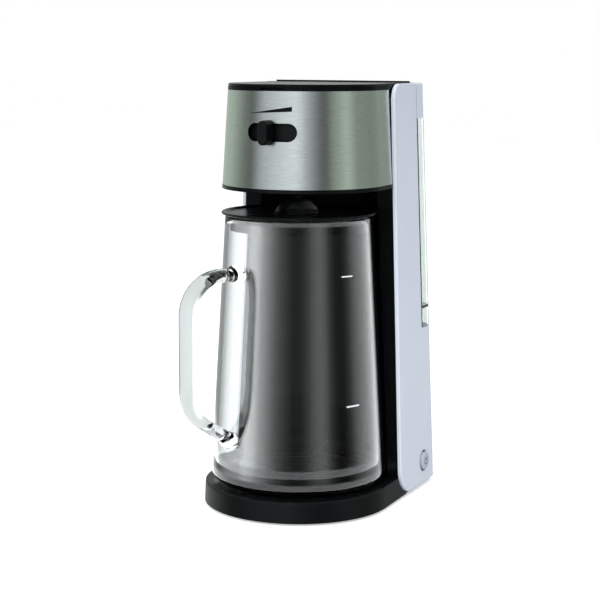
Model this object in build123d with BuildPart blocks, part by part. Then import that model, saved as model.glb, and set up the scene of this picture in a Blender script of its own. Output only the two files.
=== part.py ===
from build123d import *
import math
import os

# Drip iced tea maker with a glass pitcher, free-standing.
# Origin on the table plane, on the pitcher's axis. +Z up, -Y is the front, +X is the machine's right side.

# ---------------------------------------------------------------- driving dimensions (mm)
H_TOP = 337.3            # top of the black lid
H_PANEL = 336.8          # top of the white panels
Z_BOTTOM = 1.8           # underside of base and panels, above the feet
W0 = 78.8                # half width across the side panels at the table
R_BASE = 76.4            # radius of the base's round front
K_SIDE = 0.0418          # inward lean of the sides, mm per mm
YF0 = 30.5               # front edge of the white panels at the table
K_FRONT = 0.0223         # backward lean of that edge
REAR_APEX = 127.2        # rearmost point of the rear arc at the table
REAR_R = 197.2           # radius of the rear arc
REAR_LEAN = 1.35         # forward lean of the rear, degrees
R_REAR_CORNER = 12.0
PANEL_LOW = 3.3          # the side panels end a little above the base's lower edge
PANEL_T = 3.0
PANEL_RETURN = 2.98      # depth of the panel's front and top edges

BASE_TOP = 18.5
BASE_T = 2.5
SEAT_R = 58.0

R_STEEL = 65.6           # steel wrap's radius at its lower edge
Z_STEEL0, Z_STEEL1 = 257.1, 332.2
K_STEEL = 0.061          # its taper, mm per mm
YC_STEEL = 10.0          # centre of its arc
STEEL_T = 0.9
Z_HOUSING = 254.6
STEEL_LOW = 257.9        # lower edge of the steel, above the black trim

SLOT_W, SLOT_H, SLOT_Z = 41.6, 14.0, 301.0
KNOB_AZ = -1.5           # rest position of the strength knob, degrees from straight ahead
KNOB_W, KNOB_H = 8.3, 19.2
KNOB_R0, KNOB_R1 = 64.3, 74.2

R_CONE0 = 73.6           # concave column front behind the pitcher, at the base
K_CONE = 0.0433
COLUMN_T = 2.5

Z_NOTCH = 134.2          # the panels stop here behind Y_NOTCH to show the tank
Y_NOTCH = 87.4
TANK_T = 2.2
Z_TANK_TOP = 308.0
TANK_HALF = 61.0         # half width of the tank where it runs between the panels
TANK_FRONT = 72.0

PITCHER_Z = 18.75
PITCHER_R_BOT, PITCHER_R_TOP = 70.6, 59.0
PITCHER_Z_R = 27.5       # height of the widest point
PITCHER_TOP = 233.6
GLASS_T = 3.2
LID_R = 61.9
HANDLE_AZ = -28.5
HANDLE_W, HANDLE_TH = 19.0, 10.2
HANDLE_REACH = 106.3

BUTTON_Y, BUTTON_Z, BUTTON_R = 82.8, 22.0, 7.45

os.makedirs("parts", exist_ok=True)


def w(z):
    return W0 - K_SIDE * z


def yf(z):
    return YF0 + K_FRONT * z


# ---------------------------------------------------------------- helper solids
def rear_solid(inset):
    """Everything in front of the curved rear face, moved in by inset."""
    r = REAR_R - inset + 20 * math.tan(math.radians(REAR_LEAN))
    cy = REAR_APEX - REAR_R
    y_side = cy + math.sqrt(r * r - 110.0 ** 2)
    with BuildPart() as p:
        with BuildSketch(Plane.XY.offset(-20)):
            with BuildLine():
                Line((-110, -110), (110, -110))
                Line((110, -110), (110, y_side))
                ThreePointArc((110, y_side), (0, cy + r), (-110, y_side))
                Line((-110, y_side), (-110, -110))
            make_face()
        extrude(amount=372, taper=REAR_LEAN)
    return p.part


def slab(inset, z0, z1, y0=-120.0, y1=140.0):
    """The leaning sides: half width w(z) - inset, between two heights and two depths."""
    with BuildPart() as p:
        with BuildSketch(Plane.XZ.offset(-y1)):
            Polygon(
                (-(w(z0) - inset), z0), (w(z0) - inset, z0), (w(z1) - inset, z1), (-(w(z1) - inset), z1),
                align=None,
            )
        extrude(amount=y1 - y0)
    return p.part


def front_cut(shift, z0, z1, r_low=0.0, r_top=0.0, y1=140.0, r_back=0.0):
    """Everything behind the leaning front edge of the panels, as a thick profile across the machine."""
    with BuildPart() as p:
        with BuildSketch(Plane.YZ) as s:
            Polygon(
                (yf(z0) + shift, z0), (y1, z0), (y1, z1), (yf(z1) + shift, z1),
                align=None,
            )
            lo = s.vertices().group_by(Axis.Y)[0].sort_by(Axis.X)[0]
            if r_low > 0:
                fillet(lo, radius=r_low)
            if r_top > 0:
                hi = s.vertices().group_by(Axis.Y)[-1].sort_by(Axis.X)[0]
                fillet(hi, radius=r_top)
            if r_back > 0:
                hb = s.vertices().group_by(Axis.Y)[-1].sort_by(Axis.X)[-1]
                fillet(hb, radius=r_back)
        extrude(amount=110, both=True)
    return p.part


def block(inset, z0, z1, front=None, r_low=0.0, r_top=0.0):
    """The white outer body moved in by inset: leaning sides, leaning front edge and curved rear."""
    f = inset if front is None else front
    with BuildPart() as p:
        add(slab(inset, z0, z1))
        add(front_cut(f, z0, z1, r_low, r_top), mode=Mode.INTERSECT)
        add(rear_solid(inset), mode=Mode.INTERSECT)
        corner = [
            e for e in p.edges()
            if e.center().Y > 85 and abs(e.center().X) > 40
            and abs(e.bounding_box().size.Z - (z1 - z0)) < 0.6
        ]
        fillet(corner, radius=R_REAR_CORNER - inset)
    return p.part


def d_solid(inset, z0, z1, y_back):
    """The round-fronted housing form: a tapered half round with straight sides, cut off at y_back."""
    zb = Z_STEEL0 - 4.0
    r = R_STEEL + K_STEEL * 4.0 - inset
    with BuildPart() as p:
        with BuildSketch(Plane.XY.offset(zb)):
            with BuildLine():
                Line((r, YC_STEEL), (r, 140))
                Line((r, 140), (-r, 140))
                Line((-r, 140), (-r, YC_STEEL))
                ThreePointArc((-r, YC_STEEL), (0, YC_STEEL - r), (r, YC_STEEL))
            make_face()
        extrude(amount=90, taper=math.degrees(math.atan(K_STEEL)))
        with BuildSketch(Plane.XY.offset(z0)):
            with Locations((0, y_back - 150)):
                Rectangle(220, 300)
        extrude(amount=z1 - z0, mode=Mode.INTERSECT)
    return p.part


def sector(az0, az1, z0, z1, reach=120.0):
    """A wedge about the housing's own axis, between two azimuths measured from straight ahead."""
    steps = [az0 + (az1 - az0) * i / 6.0 for i in range(7)]
    pts = [(0, YC_STEEL)] + [
        (reach * math.sin(math.radians(a)), YC_STEEL - reach * math.cos(math.radians(a))) for a in steps
    ]
    with BuildPart() as p:
        with BuildSketch(Plane.XY.offset(z0)):
            Polygon(*pts, align=None)
        extrude(amount=z1 - z0)
    return p.part


def coil(radius, wire, z0, z1, turns, centre):
    """A plain compression spring along Z between two flats."""
    h = z1 - z0 - 2 * wire
    with BuildPart() as p:
        with BuildLine(Plane.XY.offset(z0 + wire)) as path:
            Helix(pitch=h / turns, height=h, radius=radius)
        with BuildSketch(Plane(origin=path.line @ 0, z_dir=path.line % 0)):
            Circle(wire)
        sweep()
    return p.part.moved(Location((centre[0], centre[1], 0)))


def tube(points, radii, r_out, r_in=0.0):
    """A round tube along straight runs joined by tangent arcs."""
    with BuildPart() as p:
        with BuildLine() as path:
            FilletPolyline(*points, radius=radii)
        with BuildSketch(Plane(origin=path.line @ 0, z_dir=path.line % 0)):
            Circle(r_out)
            if r_in > 0:
                Circle(r_in, mode=Mode.SUBTRACT)
        sweep()
    return p.part


# ================================================================ base
screw_xy = [(-46, -42), (46, -42), (-60, 34), (60, 34), (-48, 100), (48, 100)]
post_x = 42.0


def base_outline(inset, z0, z1):
    r = R_BASE - inset
    with BuildPart() as p:
        with BuildSketch(Plane.XY):
            with BuildLine():
                Line((r, 0), (r, 150))
                Line((r, 150), (-r, 150))
                Line((-r, 150), (-r, 0))
                ThreePointArc((-r, 0), (0, -r), (r, 0))
            make_face()
        extrude(amount=24, taper=math.degrees(math.atan(K_SIDE)))
        with BuildSketch(Plane.XY.offset(z0)):
            Rectangle(240, 330)
        extrude(amount=z1 - z0, mode=Mode.INTERSECT)
    return p.part


def panel_room(dx, grow):
    """Side panels' room beside the base, following their rounded lower front corner."""
    with BuildPart() as p:
        with BuildSketch(Plane.XZ.offset(-145)):
            Polygon((w(-6) - dx, -6), (100, -6), (100, 60), (w(60) - dx, 60), align=None)
            Polygon((-(w(-6) - dx), -6), (-100, -6), (-100, 60), (-(w(60) - dx), 60), align=None)
        extrude(amount=280)
        add(front_cut(-grow, Z_BOTTOM - grow, 60, r_low=22.0 + grow, y1=150), mode=Mode.INTERSECT)
    return p.part


with BuildPart() as base_shell:
    add(base_outline(0.0, Z_BOTTOM, BASE_TOP))
    top_edge = base_shell.edges().group_by(Axis.Z)[-1]
    fillet([e for e in top_edge if e.center().Y < 60], radius=1.4)
    add(panel_room(PANEL_T + 0.4, 0.4), mode=Mode.SUBTRACT)
    with BuildPart(mode=Mode.PRIVATE) as return_room:
        add(panel_room(PANEL_RETURN + 0.4, 0.4))
        with BuildSketch(Plane.XY.offset(-10)):
            with Locations((0, -4)):
                Rectangle(240, 120)
        extrude(amount=60, mode=Mode.INTERSECT)
    add(return_room.part, mode=Mode.SUBTRACT)
    add(rear_solid(PANEL_T + 0.4), mode=Mode.INTERSECT)
    base_corner = [
        e for e in base_shell.edges()
        if e.center().Y > 100 and abs(e.center().X) > 60 and abs(e.bounding_box().size.Z - (BASE_TOP - Z_BOTTOM)) < 0.3
    ]
    fillet(base_corner, radius=9.5)
    # hollow underside
    with BuildPart(mode=Mode.PRIVATE) as base_hollow:
        add(base_outline(BASE_T, 0, BASE_TOP - BASE_T))
        add(slab(PANEL_T + 0.4 + BASE_T, -1, 20, -120, 145), mode=Mode.INTERSECT)
        add(rear_solid(PANEL_T + 0.4 + BASE_T), mode=Mode.INTERSECT)
        fillet([
            e for e in base_hollow.edges()
            if e.center().Y > 100 and abs(e.center().X) > 60 and e.bounding_box().size.Z > 10
        ], radius=7.0)
    add(base_hollow.part, mode=Mode.SUBTRACT)
    # bosses for the cover screws
    with BuildSketch(Plane.XY.offset(4.6)):
        with Locations(*screw_xy):
            Circle(4.0)
    extrude(amount=BASE_TOP - BASE_T - 4.6)
    with BuildSketch(Plane.XY.offset(4.6)):
        with Locations(*screw_xy):
            Circle(1.3)
    extrude(amount=9.0, mode=Mode.SUBTRACT)
    # ring groove for the seat mat
    with BuildSketch(Plane.XY.offset(17.3)):
        Circle(SEAT_R)
        Circle(46.0, mode=Mode.SUBTRACT)
    extrude(amount=2.0, mode=Mode.SUBTRACT)
    # posts that take the rear cover's lower screws
    with BuildSketch(Plane.XY.offset(BASE_TOP - 0.5)):
        with Locations((-post_x, 107.9), (post_x, 107.9)):
            Rectangle(10, 7.8)
    extrude(amount=18.0)
    with BuildSketch(Plane.XZ.offset(-112)):
        with Locations((-post_x, 30), (post_x, 30)):
            Circle(1.3)
    extrude(amount=9, mode=Mode.SUBTRACT)
    # room for the button's ring
    with BuildSketch(Plane.YZ.offset(60)):
        with Locations((BUTTON_Y, BUTTON_Z)):
            Circle(10.0)
    extrude(amount=20, mode=Mode.SUBTRACT)
base_shell.part.label = "base_shell"
export_step(base_shell.part, "parts/base_shell.step")

with BuildPart() as bottom_cover:
    add(base_outline(BASE_T + 0.4, 2.4, 4.4))
    add(slab(PANEL_T + 0.8 + BASE_T, -1, 20, -120, 145), mode=Mode.INTERSECT)
    add(rear_solid(PANEL_T + 0.8 + BASE_T), mode=Mode.INTERSECT)
    fillet([
        e for e in bottom_cover.edges()
        if e.center().Y > 100 and abs(e.center().X) > 60 and abs(e.bounding_box().size.Z - 2.0) < 0.1
    ], radius=7.0)
    with BuildSketch(Plane.XY.offset(2.0)):
        with Locations(*screw_xy):
            Circle(1.7)
        with GridLocations(9, 1, 7, 1):
            SlotOverall(26, 3.0, rotation=90)
    extrude(amount=3, mode=Mode.SUBTRACT)
    with BuildSketch(Plane.XY.offset(2.4)):
        with Locations(*screw_xy):
            Circle(3.5)
    extrude(amount=1.1, mode=Mode.SUBTRACT)
bottom_cover.part.label = "bottom_cover"
export_step(bottom_cover.part, "parts/bottom_cover.step")

with BuildPart() as cover_screws:
    with BuildSketch(Plane.XY.offset(2.5)):
        with Locations(*screw_xy):
            Circle(3.1)
    extrude(amount=1.0)
    with BuildSketch(Plane.XY.offset(3.5)):
        with Locations(*screw_xy):
            Circle(1.25)
    extrude(amount=8.5)
    with BuildSketch(Plane.XY.offset(2.5)):
        with Locations(*screw_xy):
            Rectangle(3.4, 0.7)
            Rectangle(0.7, 3.4)
    extrude(amount=0.6, mode=Mode.SUBTRACT)
cover_screws.part.label = "cover_screws"
export_step(cover_screws.part, "parts/cover_screws.step")

with BuildPart() as rubber_feet:
    with BuildSketch(Plane.XY):
        with Locations((-49, -26), (49, -26), (-54, 84), (54, 84)):
            Circle(7.5)
    extrude(amount=2.4)
    chamfer(rubber_feet.edges().group_by(Axis.Z)[0], length=0.6)
rubber_feet.part.label = "rubber_feet"
export_step(rubber_feet.part, "parts/rubber_feet.step")

with BuildPart() as seat_mat:
    with BuildSketch(Plane.XY.offset(17.3)):
        Circle(SEAT_R - 0.1)
        Circle(46.1, mode=Mode.SUBTRACT)
    extrude(amount=1.35)
seat_mat.part.label = "seat_mat"
export_step(seat_mat.part, "parts/seat_mat.step")

# ================================================================ column and white casing
with BuildPart() as column_front:
    z0, z1 = BASE_TOP + 0.1, Z_HOUSING - 0.2
    add(slab(PANEL_RETURN + 0.4, z0, z1, -120, 72.9))
    add(front_cut(1.2, z0, z1, y1=72.9), mode=Mode.INTERSECT)
    with BuildSketch(Plane.XY.offset(z0)):
        Circle(R_CONE0)
    extrude(amount=240, taper=math.degrees(math.atan(K_CONE)), mode=Mode.SUBTRACT)
    with BuildPart(mode=Mode.PRIVATE) as col_in:
        add(slab(PANEL_RETURN + 0.4 + COLUMN_T, z0 - 1, z1 + 1, -120, 90.0))
        add(front_cut(1.2 + COLUMN_T, z0 - 1, z1 + 1, y1=90.0), mode=Mode.INTERSECT)
        with BuildSketch(Plane.XY.offset(z0 - 1)):
            Circle(R_CONE0 + K_CONE + COLUMN_T)
        extrude(amount=242, taper=math.degrees(math.atan(K_CONE)), mode=Mode.SUBTRACT)
    add(col_in.part, mode=Mode.SUBTRACT)
column_front.part.label = "column_front"
export_step(column_front.part, "parts/column_front.step")

with BuildPart() as side_panel_right:
    add(block(0.0, PANEL_LOW, H_PANEL, r_low=22.0, r_top=13.5))
    outer_rim = [
        e for e in side_panel_right.edges()
        if e.center().X > 30 and e.center().Y < 60
        and abs(abs(e.center().X) - w(e.center().Z)) < 0.9
    ]
    try:
        fillet(outer_rim, radius=1.1)
    except Exception as err:
        print("panel rim fillet left out:", err)
    add(block(PANEL_T, Z_BOTTOM - 8, H_PANEL - PANEL_T, r_low=24.0, r_top=10.5), mode=Mode.SUBTRACT)
    # open middle, the part behind the tank notch and the left half
    add(slab(PANEL_RETURN, -10, 345, -100, 100.0), mode=Mode.SUBTRACT)
    with BuildSketch(Plane.XY.offset(-5)):
        with Locations((-48.9, 20)):
            Rectangle(202.4, 300)
    extrude(amount=360, mode=Mode.SUBTRACT)
    with BuildSketch(Plane.YZ.offset(0)) as notch:
        Polygon((Y_NOTCH, Z_NOTCH), (160, Z_NOTCH), (160, 350), (Y_NOTCH, 350), align=None)
    extrude(amount=110, mode=Mode.SUBTRACT)
    rear_rim = [
        e for e in side_panel_right.edges()
        if e.center().Z > Z_NOTCH + 20 and abs(e.center().Y - Y_NOTCH) < 0.3
        and abs(e.center().X - w(e.center().Z)) < 0.3 and e.bounding_box().size.Z > 100
    ]
    try:
        fillet(rear_rim, radius=1.6)
    except Exception as err:
        print("panel rear fillet left out:", err)
    # hole for the power button's ring
    with BuildSketch(Plane.YZ.offset(64)):
        with Locations((BUTTON_Y, BUTTON_Z)):
            Circle(9.1)
    extrude(amount=20, mode=Mode.SUBTRACT)
side_panel_right.part.label = "side_panel_right"
export_step(side_panel_right.part, "parts/side_panel_right.step")

with BuildPart() as side_panel_left:
    add(mirror(side_panel_right.part, about=Plane.YZ, mode=Mode.PRIVATE))
    # the left panel has no button hole: fill it with its own wall
    with BuildPart(mode=Mode.PRIVATE) as plug:
        with BuildSketch(Plane.YZ.offset(-84)):
            with Locations((BUTTON_Y, BUTTON_Z)):
                Circle(9.3)
        extrude(amount=20)
        add(block(0.0, PANEL_LOW, 60, r_low=22.0), mode=Mode.INTERSECT)
        add(block(PANEL_T, Z_BOTTOM - 8, 61, r_low=24.0), mode=Mode.SUBTRACT)
    add(plug.part)
side_panel_left.part.label = "side_panel_left"
export_step(side_panel_left.part, "parts/side_panel_left.step")

cover_screw_spots = [(-post_x, 30.0), (post_x, 30.0), (-30.0, 120.0), (30.0, 120.0)]
GLAND_X, GLAND_Z = -30.0, 46.0
with BuildPart() as rear_cover:
    add(block(0.0, PANEL_LOW, Z_NOTCH))
    add(block(PANEL_T, Z_BOTTOM - 8, Z_NOTCH + 8), mode=Mode.SUBTRACT)
    with BuildSketch(Plane.XY.offset(-5)):
        with Locations((0, 150)):
            Rectangle(103.4, 120)
    extrude(amount=200, mode=Mode.INTERSECT)
    # screw bosses on the inside
    with BuildPart(mode=Mode.PRIVATE) as bosses:
        with BuildSketch(Plane.XZ.offset(-112.0)):
            with Locations(*cover_screw_spots):
                Circle(4.6)
        extrude(amount=-16)
        add(block(0.5, Z_BOTTOM - 8, Z_NOTCH + 8), mode=Mode.INTERSECT)
    add(bosses.part)
    with BuildSketch(Plane.XZ.offset(-118.0)):
        with Locations(*cover_screw_spots):
            Circle(3.8)
    extrude(amount=-20, mode=Mode.SUBTRACT)
    with BuildSketch(Plane.XZ.offset(-105.0)):
        with Locations(*cover_screw_spots):
            Circle(1.7)
        with Locations((GLAND_X, GLAND_Z)):
            Circle(5.2)
    extrude(amount=-30, mode=Mode.SUBTRACT)
    # vent slots
    with BuildSketch(Plane.XZ.offset(-105.0)):
        with Locations(*[(0, 58 + 7 * i) for i in range(6)]):
            SlotOverall(36, 2.6)
    extrude(amount=-30, mode=Mode.SUBTRACT)
rear_cover.part.label = "rear_cover"
export_step(rear_cover.part, "parts/rear_cover.step")

with BuildPart() as rear_screws:
    with BuildSketch(Plane.XZ.offset(-118.1)):
        with Locations(*cover_screw_spots):
            Circle(3.3)
    extrude(amount=-2.2)
    with BuildSketch(Plane.XZ.offset(-118.1)):
        with Locations(*cover_screw_spots):
            Circle(1.25)
    extrude(amount=12.6)
    with BuildSketch(Plane.XZ.offset(-119.5)):
        with Locations(*cover_screw_spots):
            Rectangle(3.6, 0.7)
            Rectangle(0.7, 3.6)
    extrude(amount=-2, mode=Mode.SUBTRACT)
rear_screws.part.label = "rear_screws"
export_step(rear_screws.part, "parts/rear_screws.step")

with BuildPart() as inlet_gland:
    with BuildSketch(Plane.XZ.offset(-108.0)):
        with Locations((GLAND_X, GLAND_Z)):
            Circle(5.1)
    extrude(amount=-19.0)
    with BuildSketch(Plane.XZ.offset(-124.4)):
        with Locations((GLAND_X, GLAND_Z)):
            Circle(5.1)
    extrude(amount=-1.0)
    with BuildSketch(Plane.XZ.offset(-125.1)):
        with Locations((GLAND_X, GLAND_Z)):
            Circle(7.2)
    extrude(amount=-2.0)
    fillet(inlet_gland.edges().group_by(Axis.Y)[-1], radius=0.8)
    with BuildSketch(Plane.XZ.offset(-107.0)):
        with Locations((GLAND_X, GLAND_Z)):
            Circle(3.2)
    extrude(amount=-25, mode=Mode.SUBTRACT)
inlet_gland.part.label = "inlet_gland"
export_step(inlet_gland.part, "parts/inlet_gland.step")

# ================================================================ brew housing
Y_HOUSE = 60.0
with BuildPart() as housing_shell:
    add(d_solid(STEEL_T + 0.05, Z_HOUSING, 329.3, Y_HOUSE))
    with BuildPart(mode=Mode.PRIVATE) as house_in:
        add(d_solid(STEEL_T + 2.5, Z_HOUSING + 1.8, 335, Y_HOUSE - 2.5))
    add(house_in.part, mode=Mode.SUBTRACT)
    with BuildSketch(Plane.XY.offset(Z_HOUSING - 1)):
        Circle(8.4)
    extrude(amount=6, mode=Mode.SUBTRACT)
    # slot for the strength slider
    with BuildSketch(Plane.XZ.offset(30)):
        with Locations((0, SLOT_Z)):
            SlotOverall(SLOT_W + 1.6, SLOT_H + 1.2)
    extrude(amount=50, mode=Mode.SUBTRACT)
    # hole for the riser in the rear wall
    with BuildSketch(Plane.XZ.offset(-66)):
        with Locations((37.5, 299.5)):
            RectangleRounded(22, 32, 4)
    extrude(amount=12, mode=Mode.SUBTRACT)
housing_shell.part.label = "housing_shell"
export_step(housing_shell.part, "parts/housing_shell.step")

with BuildPart() as trim_ring:
    add(d_solid(-0.25, Z_HOUSING + 0.1, STEEL_LOW - 0.15, Y_HOUSE))
    add(d_solid(STEEL_T + 0.03, Z_HOUSING, STEEL_LOW + 1, Y_HOUSE + 2), mode=Mode.SUBTRACT)
    add(front_cut(-1.6, 240, 270), mode=Mode.SUBTRACT)
    lower = [e for e in trim_ring.edges().group_by(Axis.Z)[0] if e.length > 60]
    try:
        fillet(lower[-1], radius=0.5)
    except Exception as err:
        print("trim fillet left out:", err)
trim_ring.part.label = "trim_ring"
export_step(trim_ring.part, "parts/trim_ring.step")

with BuildPart() as steel_wrap:
    add(d_solid(0.0, STEEL_LOW, Z_STEEL1, Y_HOUSE))
    add(d_solid(STEEL_T, Z_STEEL0 - 1, Z_STEEL1 + 1, Y_HOUSE + 2), mode=Mode.SUBTRACT)
    add(front_cut(-2.4, 240, 345), mode=Mode.SUBTRACT)
    with BuildSketch(Plane.XZ.offset(30)):
        with Locations((0, SLOT_Z)):
            SlotOverall(SLOT_W, SLOT_H)
    extrude(amount=50, mode=Mode.SUBTRACT)
steel_wrap.part.label = "steel_wrap"
export_step(steel_wrap.part, "parts/steel_wrap.step")

WELL_R = 43.0
with BuildPart() as brew_well:
    with BuildSketch(Plane.XZ):
        with BuildLine():
            Polyline(
                (3.05, 254.9), (8.0, 254.9), (8.0, 256.45), (WELL_R, 256.45), (WELL_R, 329.2),
                (WELL_R - 2, 329.2), (WELL_R - 2, 270.4), (34.0, 270.4), (34.0, 268.4),
                (WELL_R - 2, 264.5), (WELL_R - 2, 260.6), (14.0, 258.6), (3.05, 258.6), (3.05, 254.9),
            )
        make_face()
    revolve(axis=Axis.Z)
brew_well.part.label = "brew_well"
export_step(brew_well.part, "parts/brew_well.step")

HINGE_Y, HINGE_Z = 57.5, 335.6
LID_EAR_X = (41.0, 43.5, 50.5, 53.0)
NOZ_X, NOZ_Y = 26.0, 50.5
with BuildPart() as top_bezel:
    add(d_solid(1.0, 329.4, 332.35, Y_HOUSE))
    add(d_solid(0.0, 332.35, 334.8, Y_HOUSE))
    with BuildSketch(Plane.XY.offset(329)):
        Circle(45.5)
    extrude(amount=8, mode=Mode.SUBTRACT)
    # finger notch under the lid's front edge
    with BuildSketch(Plane.XY.offset(332.35)):
        with Locations((0, -52.2)):
            Rectangle(19.6, 10.4)
    extrude(amount=4, mode=Mode.SUBTRACT)
    # passage for the lid's water channel
    with BuildSketch(Plane.XY.offset(329)):
        with Locations((NOZ_X, NOZ_Y)):
            Circle(7.2)
    extrude(amount=8, mode=Mode.SUBTRACT)
    with BuildSketch(Plane.XY.offset(331.2)):
        with Locations(Location((NOZ_X * 0.85, NOZ_Y * 0.85), math.degrees(math.atan2(NOZ_Y, NOZ_X)))):
            Rectangle(18, 11.5)
    extrude(amount=8, mode=Mode.SUBTRACT)
    # pockets and ears for the lid's knuckles
    with BuildSketch(Plane.XY.offset(333.2)):
        with Locations((-47, 57.2), (47, 57.2)):
            Rectangle(6.8, 6.6)
    extrude(amount=5, mode=Mode.SUBTRACT)
    for sx in (-1, 1):
        for x0 in (LID_EAR_X[0], LID_EAR_X[2]):
            xa = min(sx * x0, sx * (x0 + 2.5))
            with BuildSketch(Plane.YZ.offset(xa)):
                with Locations((HINGE_Y, HINGE_Z - 0.7)):
                    Rectangle(3.4, 1.4)
                with Locations((HINGE_Y, HINGE_Z)):
                    Circle(1.7)
            extrude(amount=2.5)
            with BuildSketch(Plane.YZ.offset(xa - 1)):
                with Locations((HINGE_Y, HINGE_Z)):
                    Circle(0.9)
            extrude(amount=4.5, mode=Mode.SUBTRACT)
top_bezel.part.label = "top_bezel"
export_step(top_bezel.part, "parts/top_bezel.step")

with BuildPart() as lid_hinge_pins:
    with BuildSketch(Plane.YZ.offset(41.2)):
        with Locations((HINGE_Y, HINGE_Z)):
            Circle(0.9)
    extrude(amount=11.6)
    with BuildSketch(Plane.YZ.offset(-52.8)):
        with Locations((HINGE_Y, HINGE_Z)):
            Circle(0.9)
    extrude(amount=11.6)
lid_hinge_pins.part.label = "lid_hinge_pins"
export_step(lid_hinge_pins.part, "parts/lid_hinge_pins.step")

with BuildPart() as top_lid:
    add(d_solid(0.05, 335.0, H_TOP, 55.4))
    rim_top = top_lid.edges().group_by(Axis.Z)[-1]
    fillet(rim_top, radius=1.0)
    # shallow thumb scoop in the front edge
    with BuildSketch(Plane.XY.offset(H_TOP - 1.05)):
        with Locations((0, -51.0)):
            Rectangle(19.6, 5.0)
    extrude(amount=3.0, mode=Mode.SUBTRACT)
    with BuildSketch(Plane.XY.offset(330.6)):
        Circle(44.8)
        Circle(42.6, mode=Mode.SUBTRACT)
    extrude(amount=4.6)
    with BuildSketch(Plane.XY.offset(332.2)):
        with Locations(Location((NOZ_X * 0.74, NOZ_Y * 0.74), math.degrees(math.atan2(NOZ_Y, NOZ_X)))):
            Rectangle(30, 8)
    extrude(amount=3.0)
    with BuildSketch(Plane.XY.offset(330.2)):
        with Locations((NOZ_X, NOZ_Y)):
            Circle(4.5)
    extrude(amount=5.0)
    with BuildSketch(Plane.XY.offset(330.2)):
        with Locations((NOZ_X, NOZ_Y)):
            Circle(2.4)
    extrude(amount=3.4, mode=Mode.SUBTRACT)
    for sx in (-1, 1):
        xa = 44.0 if sx > 0 else -50.0
        with BuildSketch(Plane.YZ.offset(xa)):
            with Locations((HINGE_Y, HINGE_Z)):
                Circle(1.7)
            with Locations((HINGE_Y - 1.6, HINGE_Z)):
                Rectangle(3.2, 3.4)
        extrude(amount=6.0)
        with BuildSketch(Plane.YZ.offset(xa - 1)):
            with Locations((HINGE_Y, HINGE_Z)):
                Circle(0.96)
        extrude(amount=8.0, mode=Mode.SUBTRACT)
top_lid.part.label = "top_lid"
export_step(top_lid.part, "parts/top_lid.step")

with BuildPart() as shower_head:
    with BuildSketch(Plane.XY.offset(327.0)):
        Circle(30.0)
    extrude(amount=1.8)
    with BuildSketch(Plane.XY.offset(328.0)):
        Circle(30.0)
        Circle(28.2, mode=Mode.SUBTRACT)
    extrude(amount=4.1)
    with BuildSketch(Plane.XY.offset(326)):
        with PolarLocations(9, 6):
            Circle(1.1)
        with PolarLocations(17, 10):
            Circle(1.1)
        with PolarLocations(24, 14):
            Circle(1.1)
        Circle(1.1)
    extrude(amount=4, mode=Mode.SUBTRACT)
    with BuildSketch(Plane.XY.offset(332.1)):
        Circle(30.0)
        Circle(28.2, mode=Mode.SUBTRACT)
        with Locations(Location((NOZ_X * 0.53, NOZ_Y * 0.53), math.degrees(math.atan2(NOZ_Y, NOZ_X)))):
            Rectangle(20, 8.4, mode=Mode.SUBTRACT)
    extrude(amount=2.9)
shower_head.part.label = "shower_head"
export_step(shower_head.part, "parts/shower_head.step")

# strength slider behind the slot
with BuildPart() as slider_track:
    with BuildSketch(Plane.XY.offset(288.4)):
        with Locations((0, YC_STEEL)):
            Circle(56.4)
            Circle(54.6, mode=Mode.SUBTRACT)
    extrude(amount=25.4)
    with BuildSketch(Plane.XY.offset(288.4)):
        with Locations((0, YC_STEEL)):
            Circle(58.4)
            Circle(55.4, mode=Mode.SUBTRACT)
    extrude(amount=2.4)
    with BuildSketch(Plane.XY.offset(311.4)):
        with Locations((0, YC_STEEL)):
            Circle(58.4)
            Circle(55.4, mode=Mode.SUBTRACT)
    extrude(amount=2.4)
    add(sector(-54, 54, 280, 320), mode=Mode.INTERSECT)
slider_track.part.label = "slider_track"
export_step(slider_track.part, "parts/slider_track.step")

knob_plane = Plane(
    origin=(0, YC_STEEL, SLOT_Z),
    x_dir=(math.cos(math.radians(KNOB_AZ)), math.sin(math.radians(KNOB_AZ)), 0),
    z_dir=(math.sin(math.radians(KNOB_AZ)), -math.cos(math.radians(KNOB_AZ)), 0),
)
with BuildPart() as strength_slider:
    with BuildSketch(Plane.XY.offset(291.5)):
        with Locations((0, YC_STEEL)):
            Circle(58.2)
            Circle(56.8, mode=Mode.SUBTRACT)
    extrude(amount=19.2)
    add(sector(KNOB_AZ - 35, KNOB_AZ + 35, 280, 320), mode=Mode.INTERSECT)
    with BuildSketch(knob_plane.offset(57.6)):
        RectangleRounded(6.2, 10.4, 1.8)
    extrude(amount=4.6)
strength_slider.part.label = "strength_slider"
export_step(strength_slider.part, "parts/strength_slider.step")

with BuildPart() as strength_knob:
    with BuildSketch(knob_plane.offset(62.2)):
        RectangleRounded(6.2, 10.4, 1.8)
    extrude(amount=KNOB_R0 - 62.2)
    with BuildSketch(knob_plane.offset(KNOB_R0)):
        RectangleRounded(KNOB_W, KNOB_H, 3.9)
    extrude(amount=KNOB_R1 - KNOB_R0, taper=2.0)
    front_loop = strength_knob.edges().group_by(Axis.Y)[0]
    fillet(front_loop, radius=1.3)
strength_knob.part.label = "strength_knob"
export_step(strength_knob.part, "parts/strength_knob.step")

# basket
with BuildPart() as brew_basket:
    with BuildSketch(Plane.XZ):
        with BuildLine():
            Polyline(
                (5.0, 270.5), (36.0, 270.5), (40.2, 319.5), (40.6, 323.0), (38.6, 323.0), (38.3, 319.5),
                (34.3, 272.4), (5.0, 272.4), (5.0, 270.5),
            )
        make_face()
    revolve(axis=Axis.Z)
brew_basket.part.label = "brew_basket"
export_step(brew_basket.part, "parts/brew_basket.step")

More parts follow.
